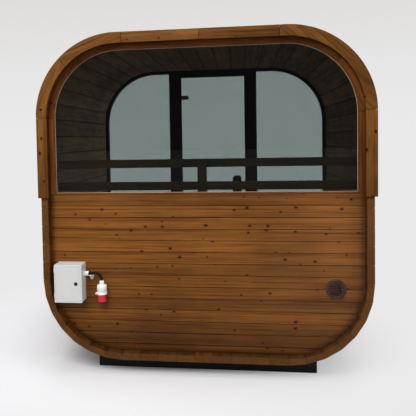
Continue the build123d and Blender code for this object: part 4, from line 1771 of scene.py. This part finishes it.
# %% [markdown]
# ### Sky
#
# The sky's rays are told apart by their path. Daylight that enters the room through the panes has
# its own strength, more from the right, because the photograph shows the left side of the
# ceiling a little lighter. A lamp inside the room could do that too, but it would throw shadows
# that daylight doesn't.

# %% Sky
SKY_TOP = 0.35
ROOM_LIGHT_SPREAD = 0.8
world = bpy.data.worlds.new("Studio")
bpy.context.scene.world = world
world.use_nodes = True
sky = world.node_tree
direction = separate(sky, sky.nodes.new("ShaderNodeTexCoord").outputs["Generated"])
backdrop = mix_colour(sky, remap(sky, direction["Z"], 0.0, SKY_TOP), BACKDROP_LOW, BACKDROP_HIGH)
path = sky.nodes.new("ShaderNodeLightPath").outputs
lighting = mix_colour(sky, path["Is Glossy Ray"], SKY_LIGHT, SKY_MIRRORED)
from_right = remap(sky, direction["X"], -ROOM_LIGHT_SPREAD, ROOM_LIGHT_SPREAD)
room_light = mix_colour(sky, from_right, ROOM_LIGHT_LEFT, ROOM_LIGHT_RIGHT)
scattered = math_node(sky, "GREATER_THAN", path["Diffuse Depth"], 0.5)
from_room = math_node(sky, "MULTIPLY", path["Is Transmission Ray"], scattered)
lighting = mix_colour(sky, from_room, lighting, room_light)
set_inputs(sky, sky.nodes["Background"],
           {"Color": mix_colour(sky, seen_directly(sky), lighting, backdrop)})
print("sky nodes", len(sky.nodes))

# %% [markdown]
# ### Lamps
#
# The softboxes in front of the rear wall stay out of mirror images, or each pane would carry a
# white square. One small lamp does the opposite: it adds nothing but the glints on the vent's
# glossy ring. A sun lamp would light the wall as well, but with shadows harder than the
# photograph's.


# %% Lamps
def area_light(name, place, target, size, power, colour=(1.0, 1.0, 1.0)):
    data = bpy.data.lights.new(name, "AREA")
    data.shape = "SQUARE"
    data.size = size
    data.energy = power
    data.color = colour
    lamp = bpy.data.objects.new(name, data)
    lamp.location = place
    lamp.rotation_euler = (Vector(target) - Vector(place)).to_track_quat("-Z", "Y").to_euler()
    bpy.context.scene.collection.objects.link(lamp)
    return lamp


softboxes = [
    area_light("Key", (-1.2, -4.2, 4.1), (0, rear_end, 1.2), 2.4, 174, (1.0, 0.98, 0.95)),
    area_light("Left side", (-6.0, -3.6, 2.4), (0, rear_end, 1.0), 2.2, 60),
    area_light("Right side", (5.6, -4.2, 2.8), (0.6, rear_end, 0.6), 2.2, 106),
]
for softbox in softboxes:
    softbox.visible_glossy = False
    softbox.visible_transmission = False
glint = area_light("Glint", (0.6, -4.6, 3.3), vent_centre, 0.3, 2.2)
glint.data.spread = math.radians(18)
glint.visible_diffuse = False
area_light("Top", (0.3, 0.5, 6.0), (0, 0, 1.0), 4.5, 330)
bpy.context.scene.view_settings.view_transform = "Standard"
print("lamps", len(bpy.data.lights))
